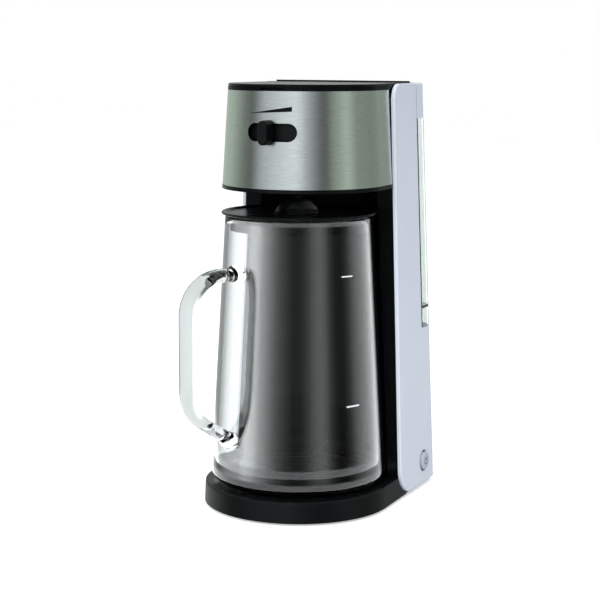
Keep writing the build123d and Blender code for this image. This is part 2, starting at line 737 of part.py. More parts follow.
with BuildPart() as basket_filter:
    with BuildSketch(Plane.XZ):
        with BuildLine():
            Polyline(
                (0.0, 272.9), (33.5, 272.9), (37.6, 319.0), (36.9, 319.0), (32.9, 273.6), (0.0, 273.6), (0.0, 272.9),
            )
        make_face()
    revolve(axis=Axis.Z)
basket_filter.part.label = "basket_filter"
export_step(basket_filter.part, "parts/basket_filter.step")

# drip stop
with BuildPart() as drip_valve:
    with BuildSketch(Plane.XZ):
        with BuildLine():
            Polyline(
                (0, 250.6), (3.6, 250.6), (4.5, 251.3), (4.5, 252.0), (3.0, 252.0), (3.0, 259.2), (5.6, 259.2),
                (5.6, 261.2), (0, 261.2), (0, 250.6),
            )
        make_face()
    revolve(axis=Axis.Z)
drip_valve.part.label = "drip_valve"
export_step(drip_valve.part, "parts/drip_valve.step")

with BuildPart() as drip_seal:
    with BuildSketch(Plane.XY.offset(258.62)):
        Circle(5.4)
        Circle(3.2, mode=Mode.SUBTRACT)
    extrude(amount=0.57)
drip_seal.part.label = "drip_seal"
export_step(drip_seal.part, "parts/drip_seal.step")

drip_spring = coil(3.9, 0.35, 261.2, 266.9, 4, (0, 0))
drip_spring.label = "drip_spring"
export_step(drip_spring, "parts/drip_spring.step")

with BuildPart() as valve_retainer:
    with BuildSketch(Plane.XY.offset(266.9)):
        Circle(12.0)
        Circle(2.0, mode=Mode.SUBTRACT)
        with PolarLocations(7.6, 6, start_angle=30):
            Circle(1.6, mode=Mode.SUBTRACT)
    extrude(amount=1.4)
    with BuildSketch(Plane.XY.offset(258.7)):
        with PolarLocations(10.6, 3):
            Rectangle(2.4, 4.0)
    extrude(amount=8.4)
valve_retainer.part.label = "valve_retainer"
export_step(valve_retainer.part, "parts/valve_retainer.step")

# ================================================================ water tank
TV_Y = 96.0
with BuildPart() as water_tank:
    with BuildSketch(Plane.XY.offset(150)):
        with Locations((0, (TANK_FRONT + 94) / 2)):
            Rectangle(2 * TANK_HALF, 94 - TANK_FRONT)
    extrude(amount=Z_TANK_TOP - 150)
    fillet([e for e in water_tank.edges().filter_by(Axis.Z) if e.center().Y < 80], radius=5)
    with BuildPart(mode=Mode.PRIVATE) as tank_rear:
        add(block(0.0, Z_NOTCH + 0.7, Z_TANK_TOP))
        with BuildSketch(Plane.XY.offset(100)):
            with Locations((0, Y_NOTCH + 100.6)):
                Rectangle(200, 200)
        extrude(amount=250, mode=Mode.INTERSECT)
    add(tank_rear.part)
    # inside
    with BuildPart(mode=Mode.PRIVATE) as tank_in:
        add(block(TANK_T, 125, 315))
        with BuildSketch(Plane.XY.offset(152.2)):
            with Locations((0, Y_NOTCH + 102.8)):
                Rectangle(200, 200)
        extrude(amount=180, mode=Mode.INTERSECT)
        with BuildSketch(Plane.XY.offset(152.2)):
            with Locations((0, (TANK_FRONT + TANK_T + 96) / 2)):
                Rectangle(2 * (TANK_HALF - TANK_T), 96 - TANK_FRONT - TANK_T)
        extrude(amount=170)
        fillet([e for e in tank_in.edges().filter_by(Axis.Z) if e.center().Y < 80], radius=3.4)
    add(tank_in.part, mode=Mode.SUBTRACT)
    # open skirt under the floor
    with BuildPart(mode=Mode.PRIVATE) as skirt_in:
        add(block(TANK_T, 125, 160))
        with BuildSketch(Plane.XY.offset(120)):
            with Locations((0, 180)):
                Rectangle(200, 200)
        extrude(amount=30.0, mode=Mode.INTERSECT)
    add(skirt_in.part, mode=Mode.SUBTRACT)
    # outlet spigot with its valve guide
    with BuildSketch(Plane.XY.offset(138.6)):
        with Locations((0, TV_Y)):
            Circle(8.6)
    extrude(amount=12)
    with BuildSketch(Plane.XY.offset(138.0)):
        with Locations((0, TV_Y)):
            Circle(6.6)
    extrude(amount=16, mode=Mode.SUBTRACT)
    with BuildSketch(Plane.XY.offset(144.0)):
        with Locations((0, TV_Y)):
            Circle(3.6)
        for a in (90, 210, 330):
            with Locations(Location((5.0 * math.cos(math.radians(a)), TV_Y + 5.0 * math.sin(math.radians(a))), a)):
                Rectangle(5.0, 1.6)
    extrude(amount=3.0)
    with BuildSketch(Plane.XY.offset(143.0)):
        with Locations((0, TV_Y)):
            Circle(2.06)
    extrude(amount=6, mode=Mode.SUBTRACT)
water_tank.part.label = "water_tank"
export_step(water_tank.part, "parts/water_tank.step")

FLAP_Y, FLAP_Z = 88.8, 336.0
with BuildPart() as tank_cap:
    add(block(0.0, Z_TANK_TOP + 0.6, H_PANEL))
    with BuildSketch(Plane.XY.offset(300)):
        with Locations((0, Y_NOTCH + 100.7)):
            Rectangle(200, 200)
    extrude(amount=50, mode=Mode.INTERSECT)
    top_rim = [
        e for e in tank_cap.edges().group_by(Axis.Z)[-1] if e.center().Y > Y_NOTCH + 1.5
    ]
    try:
        fillet(top_rim, radius=2.0)
    except Exception as err:
        print("cap rim fillet left out:", err)
    with BuildSketch(Plane.XY.offset(Z_TANK_TOP + 0.6)):
        with Locations((0, (TANK_FRONT + 94) / 2)):
            Rectangle(2 * TANK_HALF - 0.4, 94 - TANK_FRONT)
    extrude(amount=334.5 - Z_TANK_TOP - 0.6)
    with BuildPart(mode=Mode.PRIVATE) as cap_in:
        add(block(TANK_T, 300, 334.0))
        with BuildSketch(Plane.XY.offset(290)):
            with Locations((0, 192.9)):
                Rectangle(200, 200)
        extrude(amount=60, mode=Mode.INTERSECT)
        with BuildSketch(Plane.XY.offset(300)):
            with Locations((0, (TANK_FRONT + TANK_T + 96) / 2)):
                Rectangle(2 * (TANK_HALF - TANK_T - 0.2), 96 - TANK_FRONT - TANK_T)
        extrude(amount=32.2)
    add(cap_in.part, mode=Mode.SUBTRACT)
    # shelf that joins the front of the cap to the lid's rear edge
    with BuildSketch(Plane.XY.offset(331.5)):
        with Locations((0, 67.5)):
            Rectangle(2 * TANK_HALF - 0.4, 10.0)
    extrude(amount=3.0)
    # fill opening
    with BuildSketch(Plane.XY.offset(328)):
        with Locations((0, 80.5)):
            RectangleRounded(88, 10.4, 3)
    extrude(amount=10, mode=Mode.SUBTRACT)
    # trough and cheeks for the fill flap
    with BuildSketch(Plane.XY.offset(333.4)):
        with Locations((0, 88.55)):
            Rectangle(2 * (TANK_HALF - 2.2), 4.3)
    extrude(amount=5, mode=Mode.SUBTRACT)
    for sx in (-1, 1):
        xa = TANK_HALF - 2.2 if sx > 0 else 0.2 - TANK_HALF
        with BuildSketch(Plane.YZ.offset(xa)):
            with Locations((88.4, 335.7)):
                Rectangle(4.8, 2.6)
        extrude(amount=2.0)
        with BuildSketch(Plane.YZ.offset(xa - 0.5)):
            with Locations((FLAP_Y, FLAP_Z)):
                Circle(1.06)
        extrude(amount=3.0, mode=Mode.SUBTRACT)
tank_cap.part.label = "tank_cap"
export_step(tank_cap.part, "parts/tank_cap.step")

with BuildPart() as tank_flap:
    with BuildSketch(Plane.XY.offset(334.9)):
        with Locations((0, (62.7 + 89.8) / 2)):
            Rectangle(2 * (TANK_HALF - 0.2), 89.8 - 62.7)
    extrude(amount=H_TOP - 334.9)
    fillet(tank_flap.edges().group_by(Axis.Z)[-1], radius=0.6)
    # raised rib along the rear of the flap
    with BuildSketch(Plane.XY.offset(H_TOP - 0.4)):
        with Locations((0, 83.4)):
            SlotOverall(2 * (TANK_HALF - 0.8), 2.2)
    extrude(amount=1.5)
    for sx in (-1, 1):
        with BuildSketch(Plane.XY.offset(334)):
            with Locations((sx * (TANK_HALF - 0.5), 88.3)):
                Rectangle(4.0, 5.6)
        extrude(amount=6, mode=Mode.SUBTRACT)
    for sx in (-1, 1):
        xa = TANK_HALF - 2.9 if sx > 0 else 0.5 - TANK_HALF
        with BuildSketch(Plane.YZ.offset(xa)):
            with Locations((FLAP_Y, FLAP_Z)):
                Circle(1.0)
        extrude(amount=2.4)
    with BuildSketch(Plane.XY.offset(333)):
        with Locations((0, 62.2)):
            SlotOverall(20, 5.0)
    extrude(amount=8, mode=Mode.SUBTRACT)
tank_flap.part.label = "tank_flap"
export_step(tank_flap.part, "parts/tank_flap.step")

with BuildPart() as tank_valve:
    with BuildSketch(Plane.XZ):
        with BuildLine():
            Polyline(
                (0, 139.2), (3.2, 139.2), (3.2, 140.2), (2.0, 140.2), (2.0, 152.9), (8.2, 152.9), (8.2, 153.7),
                (6.0, 154.5), (0, 154.5), (0, 139.2),
            )
        make_face()
    revolve(axis=Axis.Z)
tank_valve_part = tank_valve.part.moved(Location((0, TV_Y, 0)))
tank_valve_part.label = "tank_valve"
export_step(tank_valve_part, "parts/tank_valve.step")

with BuildPart() as tank_valve_seal:
    with BuildSketch(Plane.XY.offset(152.22)):
        with Locations((0, TV_Y)):
            Circle(8.1)
            Circle(6.7, mode=Mode.SUBTRACT)
    extrude(amount=0.66)
tank_valve_seal.part.label = "tank_valve_seal"
export_step(tank_valve_seal.part, "parts/tank_valve_seal.step")

tank_valve_spring = coil(2.6, 0.25, 140.2, 144.0, 3, (0, TV_Y))
tank_valve_spring.label = "tank_valve_spring"
export_step(tank_valve_spring, "parts/tank_valve_spring.step")

with BuildPart() as tank_shelf:
    add(slab(PANEL_T + 0.4, 131.4, Z_NOTCH, 78.0, 140))
    add(rear_solid(PANEL_T + 0.4), mode=Mode.INTERSECT)
    tank_corner = [
        e for e in tank_shelf.edges()
        if e.center().Y > 85 and abs(e.center().X) > 40 and abs(e.bounding_box().size.Z - (Z_NOTCH - 131.4)) < 0.3
    ]
    fillet(tank_corner, radius=R_REAR_CORNER - 2.6)
    with BuildSketch(Plane.XY.offset(Z_NOTCH - 0.2)):
        with Locations((-30, 96), (30, 96)):
            Rectangle(3.0, 34.0)
    extrude(amount=149.8 - Z_NOTCH + 0.2)
    with BuildSketch(Plane.XY.offset(112)):
        with Locations((-30, 108.4), (30, 108.4)):
            Rectangle(10.0, 6.6)
    extrude(amount=19.6)
    with BuildSketch(Plane.XZ.offset(-112)):
        with Locations((-30, 120), (30, 120)):
            Circle(1.3)
    extrude(amount=8, mode=Mode.SUBTRACT)
    with BuildSketch(Plane.XY.offset(130)):
        with Locations((0, TV_Y)):
            Circle(8.1)
    extrude(amount=6, mode=Mode.SUBTRACT)
tank_shelf.part.label = "tank_shelf"
export_step(tank_shelf.part, "parts/tank_shelf.step")

with BuildPart() as tank_socket:
    with BuildSketch(Plane.XZ):
        with BuildLine():
            Polyline(
                (3.2, 112.0), (7.0, 112.0), (7.0, 130.0), (8.0, 130.0), (8.0, 134.25), (13.0, 134.25), (13.0, 146.5),
                (9.6, 146.5), (9.6, 135.8), (3.2, 135.8), (3.2, 112.0),
            )
        make_face()
    revolve(axis=Axis.Z)
    with BuildSketch(Plane.XY.offset(112)):
        Circle(3.4)
    extrude(amount=2.0)
    # cross bar that carries the pin which lifts the tank's valve
    with BuildSketch(Plane.XY.offset(134.4)):
        Rectangle(7.0, 1.8)
    extrude(amount=1.4)
    with BuildSketch(Plane.XY.offset(134.4)):
        Circle(1.4)
    extrude(amount=4.4)
    # side port
    with BuildSketch(Plane.YZ.offset(-13)):
        with Locations((0, 118)):
            Circle(4.0)
    extrude(amount=8.0)
    with BuildSketch(Plane.YZ.offset(-14)):
        with Locations((0, 118)):
            Circle(2.2)
    extrude(amount=12.0, mode=Mode.SUBTRACT)
tank_socket_part = tank_socket.part.moved(Location((0, TV_Y, 0)))
tank_socket_part.label = "tank_socket"
export_step(tank_socket_part, "parts/tank_socket.step")

with BuildPart() as tank_seal:
    with BuildSketch(Plane.XY.offset(141)):
        with Locations((0, TV_Y)):
            Circle(9.58)
            Circle(8.95, mode=Mode.SUBTRACT)
    extrude(amount=2.4)
tank_seal.part.label = "tank_seal"
export_step(tank_seal.part, "parts/tank_seal.step")

# ================================================================ heater and water line
HX = 44.0
with BuildPart() as heater_tube:
    with BuildLine() as hpath:
        l1 = Line((-HX, TV_Y, 95), (-HX, TV_Y, 74))
        a1 = ThreePointArc((-HX, TV_Y, 74), (0, TV_Y, 74 - HX), (HX, TV_Y, 74))
        l2 = Line((HX, TV_Y, 74), (HX, TV_Y, 95))
    with BuildSketch(Plane(origin=(-HX, TV_Y, 95), z_dir=(0, 0, -1))):
        Circle(6.0)
        Circle(3.6, mode=Mode.SUBTRACT)
    sweep()
heater_tube.part.label = "heater_tube"
export_step(heater_tube.part, "parts/heater_tube.step")

with BuildPart() as heater_bracket:
    with BuildSketch(Plane.XY.offset(BASE_TOP + 0.05)):
        with Locations((0, TV_Y)):
            RectangleRounded(46, 14, 3)
        with Locations((-19, TV_Y), (19, TV_Y)):
            Circle(1.8, mode=Mode.SUBTRACT)
    extrude(amount=1.6)
    with BuildSketch(Plane.XY.offset(BASE_TOP + 1.0)):
        with Locations((0, TV_Y)):
            Rectangle(16, 10)
    extrude(amount=8.0)
    with BuildPart(mode=Mode.PRIVATE) as saddle:
        with BuildSketch(Plane.XY.offset(74)):
            with Locations((HX, 0)):
                Circle(6.05)
        revolve(axis=Axis((0, 0, 74), (0, 1, 0)), revolution_arc=360)
    add(saddle.part.moved(Location((0, TV_Y, 0))), mode=Mode.SUBTRACT)
heater_bracket.part.label = "heater_bracket"
export_step(heater_bracket.part, "parts/heater_bracket.step")

with BuildPart() as thermostat:
    with BuildSketch(Plane.XZ.offset(-89.9)):
        with Locations((0, 31.0)):
            Circle(7.5)
    extrude(amount=3.0)
    with BuildSketch(Plane.XZ.offset(-86.9)):
        with Locations((0, 31.0)):
            Circle(6.0)
    extrude(amount=2.6)
thermostat.part.label = "thermostat"
export_step(thermostat.part, "parts/thermostat.step")

with BuildPart() as thermal_fuse:
    with BuildSketch(Plane.XY.offset(76)):
        with Locations((-HX, TV_Y - 6.0 - 2.05)):
            Circle(2.0)
    extrude(amount=15)
    with BuildSketch(Plane.XY.offset(72)):
        with Locations((-HX, TV_Y - 6.0 - 2.05)):
            Circle(0.6)
    extrude(amount=23)
thermal_fuse.part.label = "thermal_fuse"
export_step(thermal_fuse.part, "parts/thermal_fuse.step")

with BuildPart() as check_valve:
    with BuildSketch(Plane.YZ.offset(-26)):
        with Locations((TV_Y, 118)):
            Circle(4.0)
    extrude(amount=12.9)
    with BuildSketch(Plane.YZ.offset(-23)):
        with Locations((TV_Y, 118)):
            Circle(6.2)
    extrude(amount=7.0)
    with BuildSketch(Plane.YZ.offset(-27)):
        with Locations((TV_Y, 118)):
            Circle(2.2)
    extrude(amount=16, mode=Mode.SUBTRACT)
check_valve.part.label = "check_valve"
export_step(check_valve.part, "parts/check_valve.step")

inlet_hose = tube([(-26.1, TV_Y, 118), (-HX, TV_Y, 118), (-HX, TV_Y, 95.1)], 12.0, 4.5, 2.6)
inlet_hose.label = "inlet_hose"
export_step(inlet_hose, "parts/inlet_hose.step")

riser_tube = tube(
    [(HX, TV_Y, 95.1), (HX, TV_Y, 112), (50, 65.5, 130), (50, 65.5, 288), (NOZ_X, NOZ_Y, 308), (NOZ_X, NOZ_Y, 328.6)],
    [9.0, 9.0, 9.0, 9.0], 3.6, 2.2,
)
riser_tube.label = "riser_tube"
export_step(riser_tube, "parts/riser_tube.step")

with BuildPart() as hose_clips:
    with BuildSketch(Plane.XY.offset(96.5)):
        with Locations((-HX, TV_Y)):
            Circle(5.6)
            Circle(4.55, mode=Mode.SUBTRACT)
        with Locations((HX, TV_Y)):
            Circle(4.7)
            Circle(3.65, mode=Mode.SUBTRACT)
    extrude(amount=5.0)
    with BuildSketch(Plane.YZ.offset(-31)):
        with Locations((TV_Y, 118)):
            Circle(5.6)
            Circle(4.55, mode=Mode.SUBTRACT)
    extrude(amount=4.0)
hose_clips.part.label = "hose_clips"
export_step(hose_clips.part, "parts/hose_clips.step")

with BuildPart() as terminal_block:
    with BuildSketch(Plane.XY.offset(BASE_TOP + 0.05)):
        with Locations((-56, 84)):
            Rectangle(16, 12)
    extrude(amount=11.5)
    with BuildSketch(Plane.XY.offset(BASE_TOP + 6)):
        with Locations((-60.5, 84), (-51.5, 84)):
            Circle(2.4)
    extrude(amount=8, mode=Mode.SUBTRACT)
terminal_block.part.label = "terminal_block"
export_step(terminal_block.part, "parts/terminal_block.step")

w1 = tube([(GLAND_X, 107.9, GLAND_Z), (GLAND_X, 104.5, GLAND_Z), (-55, 104.5, GLAND_Z), (-57, 104.5, 26), (-57, 90.1, 26)], [2.6, 6, 6], 1.3)
w2 = tube([(-47.9, 81, 22.5), (0, 80.4, 22.5), (52.3, 81, 22.5)], 60.0, 1.3)
w3 = tube([(-47.9, 86, 27), (-40, 86, 27), (-30, 84.0, 31), (-6.2, 84.0, 31)], [8.0, 8.0], 1.1)
inner_wiring = Compound(label="inner_wiring", children=[w1, w2, w3])
export_step(inner_wiring, "parts/inner_wiring.step")

# ================================================================ power button
with BuildPart() as button_ring:
    with BuildSketch(Plane.YZ.offset(71.0)):
        with Locations((BUTTON_Y, BUTTON_Z)):
            Circle(8.95)
            Circle(7.52, mode=Mode.SUBTRACT)
    extrude(amount=5.2)
    with BuildSketch(Plane.YZ.offset(69.8)):
        with Locations((BUTTON_Y, BUTTON_Z)):
            Circle(8.95)
            Circle(4.0, mode=Mode.SUBTRACT)
    extrude(amount=1.2)
button_ring.part.label = "button_ring"
export_step(button_ring.part, "parts/button_ring.step")

with BuildPart() as power_button:
    with BuildSketch(Plane.YZ.offset(73.8)):
        with Locations((BUTTON_Y, BUTTON_Z)):
            Circle(BUTTON_R)
    extrude(amount=6.4)
    fillet(power_button.edges().group_by(Axis.X)[-1], radius=0.8)
    with BuildSketch(Plane.YZ.offset(67.3)):
        with Locations((BUTTON_Y, BUTTON_Z)):
            Circle(1.8)
    extrude(amount=6.7)
power_button.part.label = "power_button"
export_step(power_button.part, "parts/power_button.step")

with BuildPart() as switch_body:
    with BuildSketch(Plane.YZ.offset(52.4)):
        with Locations((BUTTON_Y, 24.4)):
            RectangleRounded(16, 11.4, 1.0)
    extrude(amount=14.6)
    with BuildSketch(Plane.YZ.offset(62.9)):
        with Locations((BUTTON_Y, BUTTON_Z)):
            Circle(2.2)
    extrude(amount=8, mode=Mode.SUBTRACT)
switch_body.part.label = "switch_body"
export_step(switch_body.part, "parts/switch_body.step")

button_spring = coil(5.2, 0.3, 0.0, 2.8, 1.5, (0, 0)).rotate(Axis.Y, 90).moved(Location((71.0, BUTTON_Y, BUTTON_Z)))
button_spring.label = "button_spring"
export_step(button_spring, "parts/button_spring.step")

# ================================================================ pitcher
PK = (PITCHER_R_BOT - PITCHER_R_TOP) / (231.0 - PITCHER_Z_R)


def pr(z):
    return PITCHER_R_BOT - PK * (z - PITCHER_Z_R)


att_hi, att_lo = 190.8, 59.6
hp = Plane(
    origin=(0, 0, 0),
    x_dir=(math.sin(math.radians(HANDLE_AZ)), -math.cos(math.radians(HANDLE_AZ)), 0),
    z_dir=(-math.cos(math.radians(HANDLE_AZ)), -math.sin(math.radians(HANDLE_AZ)), 0),
)
with BuildPart() as pitcher_glass:
    with BuildSketch(Plane.XZ):
        with BuildLine():
            b0 = (0, PITCHER_Z + 0.9)
            Line(b0, (50.0, PITCHER_Z + 0.9))
            Line((50.0, PITCHER_Z + 0.9), (52.5, PITCHER_Z))
            Line((52.5, PITCHER_Z), (61.2, PITCHER_Z))
            TangentArc((61.2, PITCHER_Z), (PITCHER_R_BOT, PITCHER_Z_R), tangent=(1, 0))
            Line((PITCHER_R_BOT, PITCHER_Z_R), (pr(PITCHER_TOP - 1.5), PITCHER_TOP - 1.5))
            TangentArc((pr(PITCHER_TOP - 1.5), PITCHER_TOP - 1.5), (pr(PITCHER_TOP) - 1.5, PITCHER_TOP), tangent=(0, 1))
            Line((pr(PITCHER_TOP) - 1.5, PITCHER_TOP), (0, PITCHER_TOP))
            Line((0, PITCHER_TOP), b0)
        make_face()
    revolve(axis=Axis.Z)
    # handle: an oval glass rod in one plane through the axis
    with BuildLine(hp) as hline:
        FilletPolyline((pr(att_hi) - 1.8, att_hi), (HANDLE_REACH, att_hi), (HANDLE_REACH, 85.0), (pr(att_lo) - 2.0, att_lo - 0.6), radius=[30.0, 30.0])
    p0 = hline.line @ 0
    with BuildSketch(Plane(origin=p0, x_dir=hp.z_dir, z_dir=hline.line % 0)):
        Ellipse(HANDLE_W / 2, HANDLE_TH / 2)
    sweep(path=hline.line)
    # flared joints where the rod meets the wall
    with BuildPart(mode=Mode.PRIVATE) as beads:
        with Locations(hp.from_local_coords((pr(att_hi) - 0.5, att_hi, 0))):
            Sphere(8.6)
        with Locations(hp.from_local_coords((pr(att_lo) - 0.5, att_lo, 0))):
            Sphere(8.6)
    add(beads.part)
    # inside
    with BuildSketch(Plane.XZ):
        with BuildLine():
            Line((0, 26.4), (58.0, 26.4))
            TangentArc((58.0, 26.4), (pr(35.5) - GLASS_T, 35.5), tangent=(1, 0))
            Line((pr(35.5) - GLASS_T, 35.5), (pr(PITCHER_TOP + 8) - GLASS_T, PITCHER_TOP + 8))
            Line((pr(PITCHER_TOP + 8) - GLASS_T, PITCHER_TOP + 8), (0, PITCHER_TOP + 8))
            Line((0, PITCHER_TOP + 8), (0, 26.4))
        make_face()
    revolve(axis=Axis.Z, mode=Mode.SUBTRACT)
pitcher_glass.part.label = "pitcher_glass"
export_step(pitcher_glass.part, "parts/pitcher_glass.step")

DOME_R, DOME_TOP = 18.9, 250.0
RIM_TOP = 237.0
with BuildPart() as pitcher_lid:
    with BuildSketch(Plane.XZ):
        with BuildLine():
            Polyline(
                (DOME_R + 0.1, 233.4), (52.6, 233.4), (52.6, 222.6), (54.7, 222.6), (54.7, 233.95), (59.4, 233.95), (61.0, 234.9),
            )
            ThreePointArc((61.0, 234.9), (LID_R, 235.9), (61.2, RIM_TOP - 0.1))
            Line((61.2, RIM_TOP - 0.1), (60.6, RIM_TOP))
            Line((60.6, RIM_TOP), (59.6, RIM_TOP - 0.1))
            Line((59.6, RIM_TOP - 0.1), (56.8, 235.3))
            Line((56.8, 235.3), (DOME_R + 0.1, 235.3))
            Line((DOME_R + 0.1, 235.3), (DOME_R + 0.1, 233.4))
        make_face()
    revolve(axis=Axis.Z)
    # pouring slots in the skirt
    for ang in (150, 158, 166, 174, 182, 190, 198, 206):
        with BuildSketch(Plane(origin=(0, 0, 0), x_dir=(-math.sin(math.radians(ang)), math.cos(math.radians(ang)), 0), z_dir=(math.cos(math.radians(ang)), math.sin(math.radians(ang)), 0))):
            with Locations((0, 226)):
                Rectangle(4.2, 7.0)
        extrude(amount=58, mode=Mode.SUBTRACT)
pitcher_lid.part.label = "pitcher_lid"
export_step(pitcher_lid.part, "parts/pitcher_lid.step")

# domed brew inlet, a shell of its own clipped into the lid's middle
with BuildPart() as lid_dome:
    with BuildSketch(Plane.XZ):
        with BuildLine():
            Polyline((16.9, 236.8), (16.9, 233.5), (DOME_R, 233.5), (DOME_R, 235.35), (20.3, 235.35), (20.3, 236.0), (19.4, 236.4), (DOME_R, 237.0))
            ThreePointArc((DOME_R, 237.0), (12.6, 245.62), (0, DOME_TOP))
            Line((0, DOME_TOP), (0, 248.0))
            ThreePointArc((0, 248.0), (11.2, 244.1), (16.9, 236.8))
        make_face()
    revolve(axis=Axis.Z)
    with BuildSketch(Plane.XY.offset(240)):
        Circle(5.6)
    extrude(amount=12, mode=Mode.SUBTRACT)
    # wide arched opening in its front
    a = math.radians(27)
    with BuildSketch(Plane(origin=(4.0 * math.sin(a), -4.0 * math.cos(a), 0), x_dir=(math.cos(a), math.sin(a), 0), z_dir=(math.sin(a), -math.cos(a), 0))):
        with Locations((0, 236.1)):
            Ellipse(15.0, 12.0)
        with Locations((0, 226.1)):
            Rectangle(40, 20, mode=Mode.SUBTRACT)
    extrude(amount=30, mode=Mode.SUBTRACT)
lid_dome.part.label = "lid_dome"
export_step(lid_dome.part, "parts/lid_dome.step")

with BuildPart() as lid_gasket:
    with BuildSketch(Plane.XY.offset(230.4)):
        Circle(55.3)
        Circle(54.75, mode=Mode.SUBTRACT)
    extrude(amount=2.2)
lid_gasket.part.label = "lid_gasket"
export_step(lid_gasket.part, "parts/lid_gasket.step")
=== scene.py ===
import bpy
import bmesh
import math
from mathutils import Vector, Matrix


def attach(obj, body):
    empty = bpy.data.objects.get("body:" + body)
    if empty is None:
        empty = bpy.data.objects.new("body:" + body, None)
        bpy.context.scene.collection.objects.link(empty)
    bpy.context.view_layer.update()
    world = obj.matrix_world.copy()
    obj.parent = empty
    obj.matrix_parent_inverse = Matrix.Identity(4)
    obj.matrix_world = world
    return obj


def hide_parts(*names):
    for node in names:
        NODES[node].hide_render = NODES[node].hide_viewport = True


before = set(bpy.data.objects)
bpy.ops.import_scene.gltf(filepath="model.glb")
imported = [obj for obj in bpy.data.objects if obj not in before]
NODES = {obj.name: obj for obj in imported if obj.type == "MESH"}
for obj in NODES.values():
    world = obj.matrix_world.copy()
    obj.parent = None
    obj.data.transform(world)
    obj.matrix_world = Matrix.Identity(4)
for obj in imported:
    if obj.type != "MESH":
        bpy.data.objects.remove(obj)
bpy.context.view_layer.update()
MM = 0.001
rad = math.radians


# ------------------------------------------------------------------ node helpers
def mat_new(name):
    m = bpy.data.materials.new(name)
    m.use_nodes = True
    nt = m.node_tree
    nt.nodes.clear()
    out = nt.nodes.new("ShaderNodeOutputMaterial")
    b = nt.nodes.new("ShaderNodeBsdfPrincipled")
    nt.links.new(b.outputs[0], out.inputs[0])
    return m, nt, b


def N(nt, kind, **kw):
    n = nt.nodes.new(kind)
    for k, v in kw.items():
        if k.startswith("i_"):
            n.inputs[k[2:].replace("_", " ")].default_value = v
        else:
            setattr(n, k, v)
    return n


def coords(nt, scale=(1, 1, 1), rot=(0, 0, 0)):
    tc = nt.nodes.new("ShaderNodeTexCoord")
    mp = nt.nodes.new("ShaderNodeMapping")
    mp.inputs["Scale"].default_value = scale
    mp.inputs["Rotation"].default_value = rot
    nt.links.new(tc.outputs["Object"], mp.inputs["Vector"])
    return mp.outputs[0]


def noise(nt, vec, scale, detail=2.0, rough=0.5):
    n = nt.nodes.new("ShaderNodeTexNoise")
    n.inputs["Scale"].default_value = scale
    n.inputs["Detail"].default_value = detail
    n.inputs["Roughness"].default_value = rough
    nt.links.new(vec, n.inputs["Vector"])
    return n.outputs["Fac"]


def span(nt, fac, lo, hi, a=0.3, b=0.7):
    m = nt.nodes.new("ShaderNodeMapRange")
    m.inputs["From Min"].default_value = a
    m.inputs["From Max"].default_value = b
    m.inputs["To Min"].default_value = lo
    m.inputs["To Max"].default_value = hi
    nt.links.new(fac, m.inputs["Value"])
    return m.outputs[0]


def tint(nt, fac, c0, c1, p0=0.3, p1=0.7):
    r = nt.nodes.new("ShaderNodeValToRGB")
    r.color_ramp.elements[0].position = p0
    r.color_ramp.elements[1].position = p1
    r.color_ramp.elements[0].color = (*c0, 1)
    r.color_ramp.elements[1].color = (*c1, 1)
    nt.links.new(fac, r.inputs[0])
    return r.outputs[0]


def bump(nt, b, height, strength, dist):
    n = nt.nodes.new("ShaderNodeBump")
    n.inputs["Strength"].default_value = strength
    n.inputs["Distance"].default_value = dist
    nt.links.new(height, n.inputs["Height"])
    nt.links.new(n.outputs[0], b.inputs["Normal"])
    return n


def plastic(name, c, rough, grain=0.00003, grain_scale=2200.0, vary=0.10, rvary=0.05, coat=0.0, spec=0.4):
    """Moulded plastic: fine grain in the normal, slow changes of colour and gloss."""
    m, nt, b = mat_new(name)
    v = coords(nt)
    slow = noise(nt, v, 24.0, 3.0)
    c0 = tuple(x * (1 - vary) for x in c)
    c1 = tuple(min(1.0, x * (1 + vary)) for x in c)
    nt.links.new(tint(nt, slow, c0, c1), b.inputs["Base Color"])
    mid = noise(nt, v, 90.0, 4.0, 0.6)
    nt.links.new(span(nt, mid, max(0.02, rough - rvary), rough + rvary), b.inputs["Roughness"])
    if grain:
        bump(nt, b, noise(nt, v, grain_scale, 2.0), 0.35, grain)
    b.inputs["Specular IOR Level"].default_value = spec
    b.inputs["Coat Weight"].default_value = coat
    b.inputs["Coat Roughness"].default_value = 0.08
    return m


def metal(name, c, rough, streak=(60, 60, 60), grain=0.00002, aniso=0.0, vary=0.08):
    m, nt, b = mat_new(name)
    b.inputs["Metallic"].default_value = 1.0
    v = coords(nt, streak)
    f = noise(nt, v, 10.0, 4.0, 0.6)
    nt.links.new(tint(nt, f, tuple(x * (1 - vary) for x in c), tuple(min(1, x * (1 + vary)) for x in c)), b.inputs["Base Color"])
    nt.links.new(span(nt, f, max(0.03, rough - 0.07), rough + 0.07), b.inputs["Roughness"])
    bump(nt, b, f, 0.3, grain)
    b.inputs["Anisotropic"].default_value = aniso
    return m


